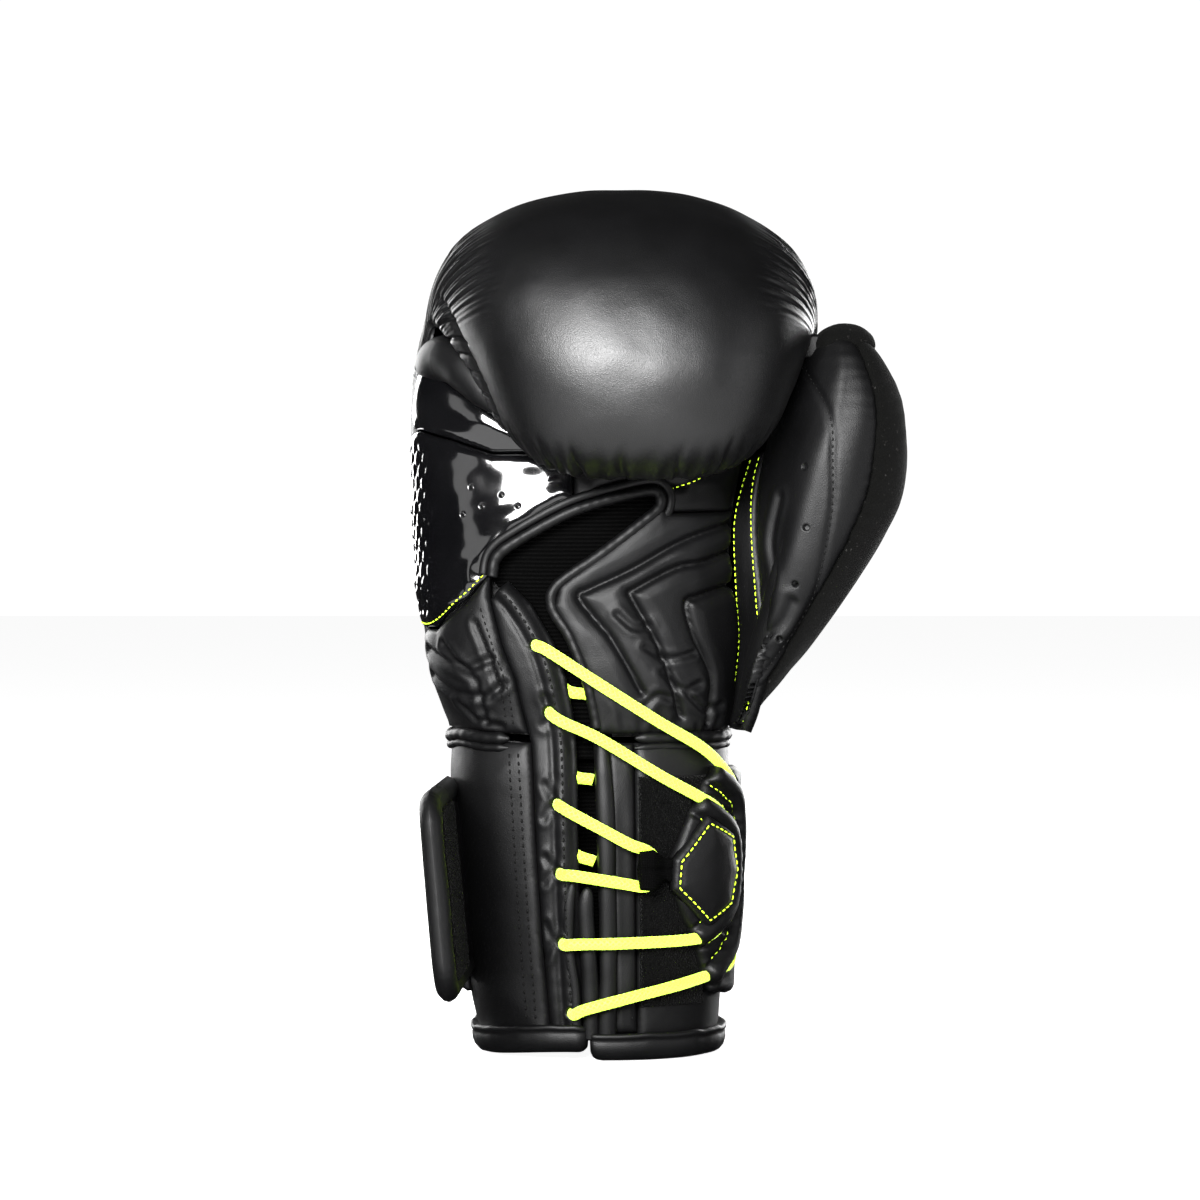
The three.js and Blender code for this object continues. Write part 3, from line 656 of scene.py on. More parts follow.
def suede_material():
    m = Nodes("suede")
    fibre = m.noise(1400.0, 4.0)
    lint = m.ramp(m.noise(700.0, 2.0), 0.68, 0.74, (0.0014, 0.0014, 0.0013), (0.012, 0.0115, 0.011))
    return m.set(Base_Color=lint, Roughness=m.range(fibre, 0.88, 1.0), Specular_IOR_Level=0.03,
                 Sheen_Weight=0.015, Sheen_Roughness=0.5, Normal=m.bump(fibre, 0.6, 0.0005))


def cloth_material(name, dark, light, scale=900.0, sheen=0.2):
    m = Nodes(name)
    weave = m.math("MULTIPLY", m.wave(scale, "X"), m.wave(scale, "Y"))
    # Darker in the hollows between the threads of the weave, which is painted shade, and darker in random
    # patches from the noise, which is tone.
    colour = m.ramp(m.math("MULTIPLY", weave, m.noise(200.0)), 0.05, 0.5, dark, light)
    return m.set(Base_Color=colour, Roughness=m.range(m.noise(300.0), 0.75, 0.95), Sheen_Weight=sheen,
                 Specular_IOR_Level=0.03, Normal=m.bump(weave, 0.7, 0.0005))


def pile_material(name, dark, light):
    m = Nodes(name)
    loops = m.cells(1300.0, "F1")
    colour = m.ramp(m.math("MULTIPLY", loops, m.noise(500.0, 4.0)), 0.05, 0.55, light, dark)
    lumps = m.bump(m.noise(160.0), 0.5, 0.002)
    return m.set(Base_Color=colour, Roughness=m.range(loops, 0.85, 1.0), Sheen_Weight=0.015,
                 Specular_IOR_Level=0.02, Normal=m.bump(loops, 0.9, 0.0010, lumps))


def rib_material():
    m = Nodes("ribbed_mesh")
    ribs = m.wave(210.0, "Y")
    # Darker in the troughs between the ribs and lighter on their tops: painted shade.
    colour = m.ramp(ribs, 0.2, 0.8, (0.0003, 0.0003, 0.0003), (0.0012, 0.0012, 0.0012))
    return m.set(Base_Color=colour, Roughness=m.range(m.noise(400.0), 0.85, 1.0), Specular_IOR_Level=0.02,
                 Normal=m.bump(m.math("ADD", ribs, m.cells(1600.0)), 0.8, 0.0009))


def cord_material():
    """A flat braid: two sets of diagonal ribs that cross, along the lace's own length."""
    m = Nodes("neon_cord")
    split = m.add("ShaderNodeSeparateXYZ")
    m.link(m.coords.outputs["UV"], split.inputs[0])
    turn, run = split.outputs[0], split.outputs[1]
    ribs = []
    for sign in (1.0, -1.0):
        slant = m.math("ADD", m.math("MULTIPLY", turn, sign * 8 * 2 * math.pi),
                       m.math("MULTIPLY", run, 2 * math.pi / 0.0021))
        ribs.append(m.math("ABSOLUTE", m.math("SINE", m.math("MULTIPLY", slant, 0.5), 0), 0))
    braid = m.math("MAXIMUM", ribs[0], ribs[1])
    # Lighter on the braid's raised ribs and darker in the grooves between them: painted shade.
    colour = m.ramp(braid, 0.45, 0.98, (0.34, 0.62, 0.01), (0.66, 1.0, 0.035))
    # glow: the braid colour mixed at random with a flat yellow-green, used both for the base colour and for
    # the painted glow.
    glow = m.add("ShaderNodeMix", data_type="RGBA")
    m.link(m.noise(500.0), glow.inputs[0])
    m.link(colour, glow.inputs[6])
    glow.inputs[7].default_value = (0.62, 0.96, 0.03, 1)
    # The emission is a painted glow: the cord gives off its own yellow-green light, though it is no lamp.
    return m.set(Base_Color=glow.outputs[2], Roughness=m.range(braid, 0.85, 0.6), Sheen_Weight=0.2,
                 Normal=m.bump(braid, 0.8, 0.0005), Emission_Color=glow.outputs[2],
                 Emission_Strength=0.22)


def thread_material(name, dark, light, glow=0.0):
    m = Nodes(name)
    twist = m.noise(2500.0, 2.0)
    # Darker where the twisted thread sinks and lighter where it stands up: painted shade between its plies.
    colour = m.ramp(twist, 0.3, 0.7, dark, light)
    m.set(Base_Color=colour, Roughness=m.range(twist, 0.5, 0.75), Normal=m.bump(twist, 0.5, 0.0002),
          Specular_IOR_Level=0.12)
    # glow is a painted glow: the thread gives off its own light, though it is no lamp.
    if glow:
        m.set(Emission_Color=colour, Emission_Strength=glow)
    return m.material


def floor_material():
    m = Nodes("paper_floor")
    colour = m.ramp(m.noise(2.0, 3.0), 0.3, 0.7, (0.93, 0.93, 0.93), (0.95, 0.95, 0.95))
    return m.set(Base_Color=colour, Roughness=m.range(m.noise(5.0), 0.9, 1.0), Specular_IOR_Level=0.0,
                 Emission_Color=(1.0, 1.0, 1.0, 1.0), Emission_Strength=0.93)


BLACK_LOW = (0.0006, 0.0006, 0.0007)
BLACK_HIGH = (0.0014, 0.0014, 0.0016)
LEATHER = leather_material("leather", BLACK_LOW, BLACK_HIGH, (0.46, 0.54), 1400.0, specular=0.24)
DOME = leather_material("dome_leather", BLACK_LOW, BLACK_HIGH, (0.37, 0.42), 1700.0)
SOFT = leather_material("soft_leather", BLACK_LOW, BLACK_HIGH, (0.44, 0.54), 1400.0, specular=0.20)
PATENT = patent_material()
SUEDE = suede_material()
LINING = cloth_material("lining_cloth", (0.001, 0.001, 0.001), (0.005, 0.005, 0.005))
WEBBING = cloth_material("webbing", (0.0003, 0.0003, 0.0003), (0.0014, 0.0014, 0.0014), 500.0, 0.0)
LOOP_PILE = pile_material("loop_pile", (0.0003, 0.0003, 0.0003), (0.0013, 0.0013, 0.0013))
HOOK_PILE = pile_material("hook_pile", (0.0004, 0.0004, 0.0004), (0.0022, 0.0022, 0.0022))
RIB = rib_material()
CORD = cord_material()
# The last argument, 0.2, is a painted glow on the neon thread.
NEON = thread_material("neon_thread", (0.42, 0.72, 0.02), (0.7, 1.0, 0.04), 0.2)
BLACK = thread_material("black_thread", (0.0006, 0.0006, 0.0006), (0.003, 0.003, 0.003))

# ---- the sheets that panels are cut from ----
CORE_SHEET = Unrolled(core, -2, 262)
THUMB_SHEET = Unrolled(thumb, 123, 268)
STRAP_OUT = 5.2
STRAP_SHEET = Unrolled(lambda d, z: core(d, z, -STRAP_OUT), 16, 108)

WRIST_Z = 118.0
SLIT_RIGHT = 271.0
BACK_TURN = 179.5  # where the side panels tuck under the back padding
CUFF_LOW, CUFF_HIGH = 8, 116.5
LACE_OUT = 4.7
LACE_RADIUS = 2.05
LACE_STEP = 0.55
FINE_STITCH = (2.3, 1.7, 0.26)  # pitch, length and radius
GUSSET_BEND = (48, 60)
FLAP_BEND = 6
FACING_EDGE = [[-18.5, 10], [-21.5, 43], [-24, 80], [-25.5, 115], [-29, 128], [-31.5, 139.5],
               [-36.5, 152], [-41, 169]]
SLOT_LEFT = [[-5.5, 10], [-7, 40], [-8, 75], [-8.5, 113], [-10.2, 128], [-12.5, 140], [-17, 153],
             [-25.5, 167], [-34, 175]]
SLOT_BINDING = [[-1.2, 121.5], [-2.2, 128], [-5, 140], [-11, 155], [-17.5, 166], [-15.5, 174],
                [0, 185], [15, 196.5], [22, 203], [20, 208.5], [8, 206.5], [-10, 201],
                [-28, 191.5], [-37.5, 184.5], [-39.5, 177]]
EYELETS = [[-23.7, 152], [-18.6, 127.5], [-15.7, 94], [-14.6, 69], [-13.5, 43.4], [-10.2, 18]]
GUSSET_LEFT = [[46.5, 121], [48.5, 131], [50.5, 155], [48.2, 182], [49, 201], [55, 221]]
LINE = CORE_SHEET.flat


# ---- hand: palm side ----
HAND_TO_FIST = dict(start=(0.0, 3.0, 182.6), end=(0.0, 17.8, 198.1))
BACK_TO_FIST = dict(start=(0.0, -44.0, 170.4), end=(0.0, -51.3, 198.4))


def bend(obj, way):
    start, end = place([way["start"], way["end"]])
    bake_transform(obj)


def declare(obj, nodes=(), body="hand", way=None, fill=None, material=None):
    """Give a piece its material and hide the solids it stands for. With a way, its transform is only baked;
    without one, it is parented to the body it moves with. fill is not used.
    """
    if material:
        obj.data.materials.append(material)
    for node in nodes:
        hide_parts(node)
    if way:
        bend(obj, way)
    else:
        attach(obj, body)


def sewn(panel, name, material, step=1.3, thick=3.0, **facts):
    declare(panel.build(name, material, step, thick), **facts)
    return panel


def palm_lower_left():
    folds = [
        (LINE([[194, 150], [-48, 143], [-40, 147]]), 1.5, 2.0),
        (LINE([[196, 141], [-52, 134], [-41, 133], [-35, 138]]), 1.3, 1.8),
        (LINE([[-58, 152], [-45, 139], [-42, 124]]), 1.4, 1.8),
        (LINE([[-46, 160], [-41, 148], [-37, 136]]), 1.2, 1.6),
        (LINE([[-52, 131], [-45, 124], [-36, 122]]), 1.0, 1.6),
    ]

    def height(p, edge):
        h = crown(edge, 1.8, 4.5, 1.2) + 0.4 * noise(p, (24, 14), 3) + 0.10 * noise(p, (7, 5), 4)
        for line, depth, width in folds:
            h += crease(p, line, depth * 0.8, width * 0.7, 0.5)
        return h

    top = [[BACK_TURN, 156.4], [-62, 156.9], [-50, 167.4], [-41.6, 177.6]]
    right = [[x - 0.2, z] for x, z in FACING_EDGE[::-1] if z >= 118] + [[-27, 119.5]]
    outline = top + right + [[BACK_TURN, 119.5]]
    return sewn(Panel(CORE_SHEET, outline, height), "palm_lower_left_leather", SOFT, 1.2,
                nodes=["palm_lower_left"], way=HAND_TO_FIST)


def side_panel_lower():
    """Patent leather with rows of raised lozenges towards the back of the hand."""
    holes = [LINE([p])[0] for p in ([-50, 200], [-43, 203], [-36, 207], [-47, 210], [-30, 203])]

    def height(p, edge):
        h = crown(edge, 1.8, 4.5, 1.2) + 0.7 * noise(p, (20, 9), 8) + 0.22 * noise(p, (9, 5), 9)
        zone = smooth(-54, -64, p[:, 0]) * smooth(2, 7, edge)
        a = p[:, 0] / 2.6 + p[:, 1] / 4.6
        b = p[:, 0] / 2.6 - p[:, 1] / 4.6
        lozenge = np.clip(np.abs(np.sin(a * math.pi / 2)) * np.abs(np.sin(b * math.pi / 2)) * 1.6, 0, 1)
        h += 0.6 * zone * (lozenge - 0.5)
        for hole in holes:
            h -= 2.2 * (1 - smooth(0.5, 1.0, np.linalg.norm(p - hole, axis=1)))
        h += crease(p, LINE([[-44, 178], [-30, 192], [-14, 203]]), 0.9, 2.4, 0.5)
        return h

    outline = ([[BACK_TURN, 157.6], [-62, 158.1], [-50, 168.6], [-41.2, 178.4], [-38.5, 184.8], [-28, 193],
                [-10, 202.6], [-9.7, 222], [-24, 222.3], [-40, 222.3], [-56, 227.5], [-68, 231],
                [BACK_TURN, 231]])
    return sewn(Panel(CORE_SHEET, outline, height, holes=holes), "side_panel_lower_patent", PATENT, 0.9,
                nodes=["side_panel_lower"], way=HAND_TO_FIST)


def side_panel_upper():
    def height(p, edge):
        return crown(edge, 2.0, 5.0, 1.6, 12.0) + 0.5 * noise(p, (14, 9), 14)

    outline = [[-24, 222.8], [-40, 222.8], [-56, 228.1], [-68, 231.7], [BACK_TURN, 231.7], [BACK_TURN, 257],
               [-63.5, 256.5], [-56, 251], [-47, 246.5], [-39, 243], [-30, 236], [-24, 230]]
    return sewn(Panel(CORE_SHEET, outline, height), "side_panel_upper_patent", PATENT, 1.0,
                nodes=["side_panel_upper"], body="fist")


def finger_end_cap():
    """The padded roll at the end of the little-finger side, tucked against the main padding."""
    line = curve([[-60, 16, 252], [-60.5, 2, 255], [-58.5, -12, 257], [-54.5, -21, 257.5],
                  [-49.5, -29, 253.5], [-44, -36, 247], [-38.5, -40, 240], [-34.5, -40, 236]], 0.8)
    t = np.linspace(0, 1, len(line))
    radius = np.interp(t, [0, 0.08, 0.3, 0.5, 0.68, 0.85, 1], [2, 7.0, 9.4, 9.4, 8.2, 6.0, 1.5])
    radius = radius * (1 + 0.04 * noise(np.stack([t * 9, 0 * t], 1), 1.0, 21))
    obj = tube("finger_end_leather", place(line), radius * MM, 40)
    declare(obj, nodes=["finger_end_cap"], body="fist", fill=0.8, material=LEATHER)


def palm_top():
    def height(p, edge):
        return crown(edge, 1.6, 4.0, 1.6) + 0.6 * noise(p, 10, 31) + crease(
            p, LINE([[0, 209], [14, 213], [30, 211]]), 1.0, 1.6, 0.5)

    outline = [[-9.4, 222], [-9.4, 203.2], [8, 208.6], [20, 210.6], [24.4, 203.4], [25.5, 200.7],
               [48.8, 200.9], [54.6, 221.5]]
    return sewn(Panel(CORE_SHEET, outline, height), "palm_top_leather", SOFT, 1.1, nodes=["palm_top"],
                way=HAND_TO_FIST)


CHANNELS = [
    [[48.5, 197], [30, 190], [11, 179.5], [-4, 172.5], [-8, 170], [-3, 163], [5, 153], [15, 135]],
    [[48.8, 187], [38, 182.5], [27, 180], [12, 172], [11, 170], [19, 156], [25, 141], [29, 126]],
    [[49.2, 174], [42, 172], [35, 169.5], [31, 167], [34, 155], [40, 140], [39, 123]],
]
PALM_FOLDS = [
    [[16, 151], [24, 147], [33, 149]], [[22, 142], [29, 136], [35, 138]], [[14, 128], [20, 134], [24, 133]],
    [[31, 134], [37, 128], [43, 130]], [[6, 163], [12, 158], [17, 159]],
]


def palm_quilted():
    channels = [curve(LINE(c), 1.5) for c in CHANNELS]
    folds = [curve(LINE(c), 2.0) for c in PALM_FOLDS]

    def height(p, edge):
        d = np.min([distance_to(p, c) for c in channels], axis=0)
        h = crown(edge, 1.8, 4.5, 1.0) + 2.2 * np.sqrt(np.clip(d / 5.5, 0, 1)) - 2.0 * bell(d, 1.1)
        h += 0.4 * noise(p, (12, 9), 41) + 0.08 * noise(p, 5, 42)
        for fold in folds:
            h += crease(p, fold, 0.9, 1.1, 0.4)
        lower = smooth(140, 122, p[:, 1])
        return h + lower * 0.35 * np.sin(p[:, 0] * 0.9 + 2.5 * noise(p, 8, 43))

    outline = ([[46, 120]] + [[x - 0.2, z] for x, z in GUSSET_LEFT[1:5]] + [[25, 200.2]]
               + [[x + 0.5, z] for x, z in SLOT_BINDING[:9][::-1]] + [[0, 119.5]])
    return sewn(Panel(CORE_SHEET, outline, height), "palm_quilted_leather", SOFT, 1.0,
                nodes=["palm_quilted", "palm_foam"], way=HAND_TO_FIST, fill=0.5)


def finger_cover():
    def height(p, edge):
        return crown(edge, 1.5, 4.0, 1.0) + 0.5 * noise(p, 12, 61)

    outline = [[-24, 222.8], [54.8, 222.8], [60, 246], [-24, 246]]
    return sewn(Panel(CORE_SHEET, outline, height), "finger_cover_leather", SOFT, 1.4,
                nodes=["finger_cover"], body="fist")


def slot_parts():
    line = curve(LINE(SLOT_BINDING), 0.7)
    points, normals = CORE_SHEET.lift(line, 0.3 + 0.25 * noise(line, 5, 71))
    run = np.arange(len(line)) * 0.7
    radius = 2.1 + 0.07 * np.sin(run * 2 * math.pi / 4.2 + 2 * noise(line, 9, 72)) + 0.07 * noise(line, 5, 73)
    binding = tube("palm_slot_piping", place(points), radius * MM, 16, 1.0, normals)
    declare(binding, nodes=["palm_slot_binding"], way=HAND_TO_FIST, material=SOFT)
    beside = offset_line(line, 3.9)
    points, normals = CORE_SHEET.lift(beside, 0.1 + 0.15 * noise(beside, 7, 74))
    fold = tube("palm_slot_fold", place(points), 1.7 * MM, 12, 0.8, normals)
    declare(fold, way=HAND_TO_FIST, material=SOFT)

    def height(p, edge):
        return -6.2 + 0.4 * noise(p, 9, 75)

    outline = [[-14, 112], [-17, 140], [-24, 156], [-41.5, 176], [-42, 186], [-29, 196], [-8, 206], [16, 213],
               [27, 206], [20, 194], [3, 182.5], [-9, 171], [-11, 166], [0, 150], [4, 136], [5, 112]]
    sewn(Panel(CORE_SHEET, outline, height), "slot_ribbed_mesh", RIB, 1.6, 1.5, nodes=["slot_mesh"],
         way=HAND_TO_FIST)


def palm_lining():
    def height(p, edge):
        return -8.5 + 0.3 * noise(p, 20, 77)

    sewn(Panel(CORE_SHEET, [[186, 119], [186, 221], [354, 221], [354, 119]], height), "palm_lining_cloth",
         LINING, 3.5, 2.0, nodes=["palm_lining"], way=HAND_TO_FIST)


# ---- main padding ----
# places and depths of the tucks at the lip and on the roll beside the little finger
LIP_TUCKS = [(0.06, 0.9), (0.16, 1.2), (0.27, 0.7), (0.36, 1.3), (0.47, 0.8), (0.58, 0.9), (0.7, 0.6),
             (0.86, 0.9)]
ROLL_TUCKS = [(8.7, 0.8), (9.25, 1.2), (9.7, 0.7), (10.2, 1.3), (10.75, 0.8), (11.4, 1.5), (12.1, 1.0)]


def padding_grid(end, rows, columns, side=1.0):
    """Rows from the wrist to u = end, columns closer together towards the two rims."""
    v = np.sin(np.linspace(-1, 1, columns) * math.pi / 2 * 0.96)
    v = v / v[-1] * side
    return np.meshgrid(v, np.linspace(0.0, end, rows))


def padding_normals(v, u):
    dv = curl(v + 0.01, u) - curl(v - 0.01, u)
    du = curl(v, u + 0.02) - curl(v, u - 0.02)
    normal = np.cross(dv, du)
    return -normal / np.maximum(np.linalg.norm(normal, axis=2), 1e-9)[:, :, None]


def main_cover():
    rows, columns = 600, 260
    v, u = padding_grid(15.0, rows, columns)
    surface = curl(np.clip(v, -0.999, 0.999), u)
    normal = padding_normals(np.clip(v, -0.98, 0.98), u)
    flat = surface.reshape(-1, 3)
    h = 0.7 * noise(flat, 34, 81) + 0.22 * noise(flat, 12, 82)
    un, vn = u.reshape(-1), v.reshape(-1)
    # pleats where the sides of the padding are gathered
    side = np.abs(vn)
    zone = smooth(0.40, 0.66, side) * smooth(3.4, 5.0, un) * smooth(9.6, 8.6, un)
    zone *= 0.25 + 0.75 * np.clip((1 - side) / 0.35, 0, 1)
    wander = 0.32 * noise(np.stack([un, vn * 4], 1), (0.9, 1.4), 83)
    deep = 0.55 + 0.45 * noise(np.stack([un, vn * 2], 1), (0.35, 1.0), 84)
    h += 0.85 * zone * deep * np.sin(2 * math.pi * (un * 4.8 + wander))
    h += 0.38 * zone * np.sin(2 * math.pi * (un * 9.1 + 2 * wander))
    # the padded roll beside the little finger, with tucks across it
    roll = smooth(8.0, 8.8, un) * smooth(12.6, 11.9, un)
    h += roll * (2.0 * bell(vn + 0.925, 0.05) - 1.7 * bell(vn + 0.83, 0.022))
    for tuck, depth in ROLL_TUCKS:
        h -= 1.5 * depth * bell(un - tuck - (vn + 1) * 2.4, 0.055) * smooth(-0.76, -0.86, vn)
    # small tucks at the lip
    lip = smooth(11.4, 12.8, un)
    spot = (vn + 1) / 2
    for place_v, depth in LIP_TUCKS:
        h -= 1.6 * depth * bell(spot - place_v - 0.006 * np.sin(un * 3), 0.008) * lip
    h += 0.4 * lip * np.sin(spot * 2 * math.pi * 21 + 2 * noise(np.stack([spot * 10, un], 1), 1.0, 85))
    # the seam down each side, where the padding meets the palm panels
    h -= 1.4 * smooth(0.965, 1.0, side)
    h -= 0.8 * bell(vn, 0.5) * bell(un - 7, 2)
    outer = surface + normal * h.reshape(rows, columns)[:, :, None]
    inner = surface - normal * 3.2
    obj = slab("main_padding_cover", place_grid(outer), place_grid(inner), rows, columns)
    declare(obj, nodes=["back_cover", "fist_cover", "back_foam", "fist_foam"], way=BACK_TO_FIST, fill=0.95,
            material=DOME)


def place_grid(points):
    """A grid turned round left to right, so that its faces look outwards, in metres."""
    return place(points[:, ::-1])


def main_lining():
    rows, columns = 60, 50
    v, u = padding_grid(13.0, rows, columns, 0.97)
    thick = at(dict(u=list(range(15)), t=[9, 14, 21, 26, 32, 34, 34, 34, 34, 33, 31, 28, 23, 16, 9]), u)["t"]
    outer = curl(v, u, thick * 0.9 + 2.0)
    inner = curl(v, u, thick * 0.9 + 3.4)
    obj = slab("main_lining_cloth", place_grid(outer), place_grid(inner), rows, columns)
    declare(obj, nodes=["back_lining", "fist_lining"], way=BACK_TO_FIST, material=LINING)


# ---- thumb ----
THUMB_SEAM = [[291, 125], [292, 150], [295, 180], [297, 210], [297, 240], [296, 262], [296, 267]]
# Where the gusset meets the thumb: the second bright seam.
VALLEY = dict(
    z=[118, 123, 133, 144, 155, 187, 210, 222, 235, 250, 262, 270],
    x=[50, 52.6, 55.4, 57.6, 58.4, 57.3, 57, 59, 63, 69, 75, 79],
    y=[-28, -32, -36, -38, -37, -32, -30, -29, -29, -29, -29, -29],
)


def valley(z):
    s = at(VALLEY, z)
    return np.stack([s["x"], s["y"], np.asarray(z, float)], axis=-1)


def strung(stations, t):
    """A smooth line through the stations at every t from 0 to 100. Stations are arrays of points."""
    last = len(stations) - 1
    stations = np.array(stations)
    key = np.asarray(t, float) / 100 * last
    i = np.clip(np.floor(key).astype(int), 0, last - 1)
    share = (key - i)[..., None]
    before, after = np.maximum(i - 1, 0), np.minimum(i + 2, last)

    def pick(index):
        return np.take_along_axis(stations, index[None, ..., None], axis=0)[0]

    a, b = pick(i), pick(i + 1)
    start, end = (b - pick(before)) / 2, (pick(after) - a) / 2
    return ((2 * share**3 - 3 * share**2 + 1) * a + (share**3 - 2 * share**2 + share) * start
            + (3 * share**2 - 2 * share**3) * b + (share**3 - share**2) * end)


def seam_turn(z):
    return np.interp(z, [p[1] for p in THUMB_SEAM], [p[0] for p in THUMB_SEAM])


def thumb_front_surface(t, z):
    z = np.asarray(z, float) + 0 * np.asarray(t, float)
    last = seam_turn(z)
    spread = np.interp(z, [125, 150], [0.55, 1.0])
    turns = [last - (last - turn) * spread for turn in (246.0, 262.0, 277.0)]
    middle = (valley(z) + thumb(turns[0], z)) / 2 + np.array([1.4, -1.5, 0.0])
    return strung([valley(z), middle] + [thumb(turn, z) for turn in turns] + [thumb(last, z)], t)


GUSSET_ROWS = np.arange(112.0, 236.0, 1.0)
GUSSET_XS = at(dict(z=[112, 121, 131, 155, 182, 201, 221, 236], x=[45, 46.5, 48.5, 51, 48.4, 49.2, 55.2, 62]),
               GUSSET_ROWS)["x"]
GUSSET_POINTS, _ = CORE_SHEET.lift(LINE(np.stack([GUSSET_XS, GUSSET_ROWS], axis=1)), 0 * GUSSET_XS)


def gusset_surface(t, z):
    z = np.asarray(z, float) + 0 * np.asarray(t, float)
    left = np.stack([np.interp(z, GUSSET_ROWS, GUSSET_POINTS[:, 0]),
                     np.interp(z, GUSSET_ROWS, GUSSET_POINTS[:, 1]), z], axis=-1)
    right = valley(z)
    return strung([left, (left + right) / 2 + np.array([1.0, -1.5, 0.0]), right], t)


def web_back_surface(t, z):
    z = np.asarray(z, float) + 0 * np.asarray(t, float)
    near = thumb(121.0 + 0 * z, z, 2.6)
    far = core(372.0 + 0 * z, np.minimum(z, 262.0), 1.0) + np.stack([0.35 * np.maximum(z - 240, 0), 0 * z,
                                                                     np.maximum(z - 262, 0)], axis=-1)
    return strung([near, (near + far) / 2 + np.array([0.0, 1.0, 0.0]), far], t)


FRONT_SHEET = Unrolled(thumb_front_surface, 121, 268, (0.0, 100.0), 0.0, (0.0, 100.0))
GUSSET_SHEET = Unrolled(gusset_surface, 119, 226, (0.0, 100.0), 0.0, (0.0, 100.0))
WEB_SHEET = Unrolled(web_back_surface, 124, 266, (0.0, 100.0), 0.0, (0.0, 100.0))


def strip(sheet, low, high, trim=0.0):
    """An outline over the whole width of a sheet between two heights, laid flat."""
    zs = np.linspace(low, high, 30)
    row, share = sheet.rows(zs)
    width = sheet.s[row, -1] * (1 - share) + sheet.s[row + 1, -1] * share
    left = np.stack([0 * zs + trim, zs], axis=1)
    right = np.stack([width - trim, zs], axis=1)
    return np.concatenate([right, left[::-1]])


def bend_thumb(obj, low, high):
    start, end = place([[low, -20, 170], [high, -20, 170]])
    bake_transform(obj)


def thumb_gusset():
    def height(p, edge):
        return crown(edge, 1.5, 3.5, 0.6) + 0.3 * noise(p, (5, 16), 51)

    panel = Panel(GUSSET_SHEET, strip(GUSSET_SHEET, 121, 224), height, flat=True)
    obj = panel.build("thumb_gusset_leather", LEATHER, 1.0)
    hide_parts("thumb_gusset")
    bend_thumb(obj, *GUSSET_BEND)

    def back_height(p, edge):
        return 0.4 * noise(p, 14, 55)

    back = Panel(WEB_SHEET, strip(WEB_SHEET, 131, 265), back_height, flat=True)
    obj = back.build("thumb_web_leather", LEATHER, 1.5)
    bend_thumb(obj, 54, 62)
    return panel


THUMB_STITCH = [[75, 254], [83, 238], [84.5, 222], [84, 200], [79, 172], [70, 155], [59.5, 141]]


def thumb_parts():
    def smooth_face(p, edge):
        h = crown(edge, 1.5, 4.0, 0.8) + 0.45 * noise(p, (10, 30), 91)
        seam = distance_to(p, outer_edge)
        gathers = np.exp(-seam / 5) * smooth(190, 205, p[:, 1])
        h += 0.16 * gathers * np.sin(p[:, 1] * 1.35 + 1.5 * noise(p, 7, 92))
        h -= 0.7 * bell(distance_to(p, stitched), 1.2)
        for fold in folds:
            h += crease(p, fold, 1.0, 1.6, 0.5)
        for hole in holes:
            h -= 2.6 * (1 - smooth(0.7, 1.25, np.linalg.norm(p - hole, axis=1)))
        return h

    outer_edge = strip(FRONT_SHEET, 123, 267)[:30]
    stitched = curve(FRONT_SHEET.flat(THUMB_STITCH), 2.0)
    folds = [curve(FRONT_SHEET.flat(c), 2.0) for c in (
        [[66, 206], [63, 190], [64, 176], [60, 168]], [[70, 168], [66, 160], [61, 156]])]
    holes = [FRONT_SHEET.flat([[x, z]])[0] for x, z in ([75, 217], [75, 195], [71, 174.5], [65.5, 154.5])]
    front = Panel(FRONT_SHEET, strip(FRONT_SHEET, 122.5, 267, 0.15), smooth_face, flat=True, holes=holes)
    sewn(front, "thumb_front_leather", SOFT, 1.0, nodes=["thumb_front_cover", "thumb_pad_inner"],
         body="thumb", fill=0.8)

    def suede_face(p, edge):
        h = crown(edge, 1.8, 5.0, 1.6) + 0.5 * noise(p, 14, 95)
        seam = distance_to(p, THUMB_SHEET.flat(THUMB_SEAM))
        gathers = np.exp(-seam / 7) * smooth(170, 190, p[:, 1]) * smooth(258, 240, p[:, 1])
        return h + 0.55 * gathers * np.sin(p[:, 1] * 1.05 + 2.2 * noise(p, 9, 96))

    outline = [[a + 0.6, z] for a, z in THUMB_SEAM] + [[478, 267], [478, 230], [478, 180], [478, 125]]
    sewn(Panel(THUMB_SHEET, outline, suede_face), "thumb_back_suede", SUEDE, 1.2,
         nodes=["thumb_back_cover", "thumb_pad_outer"], body="thumb", fill=0.8)

    def inner_face(p, edge):
        return crown(edge, 1.6, 4.0, 0.6) + 0.4 * noise(p, 9, 97) - 0.8

    outline = [[119, 125], [245, 125], [245, 266], [119, 266]]
    sewn(Panel(THUMB_SHEET, outline, inner_face), "thumb_inner_leather", LEATHER, 1.6,
         nodes=["thumb_inner_cover"], body="thumb")
    return front


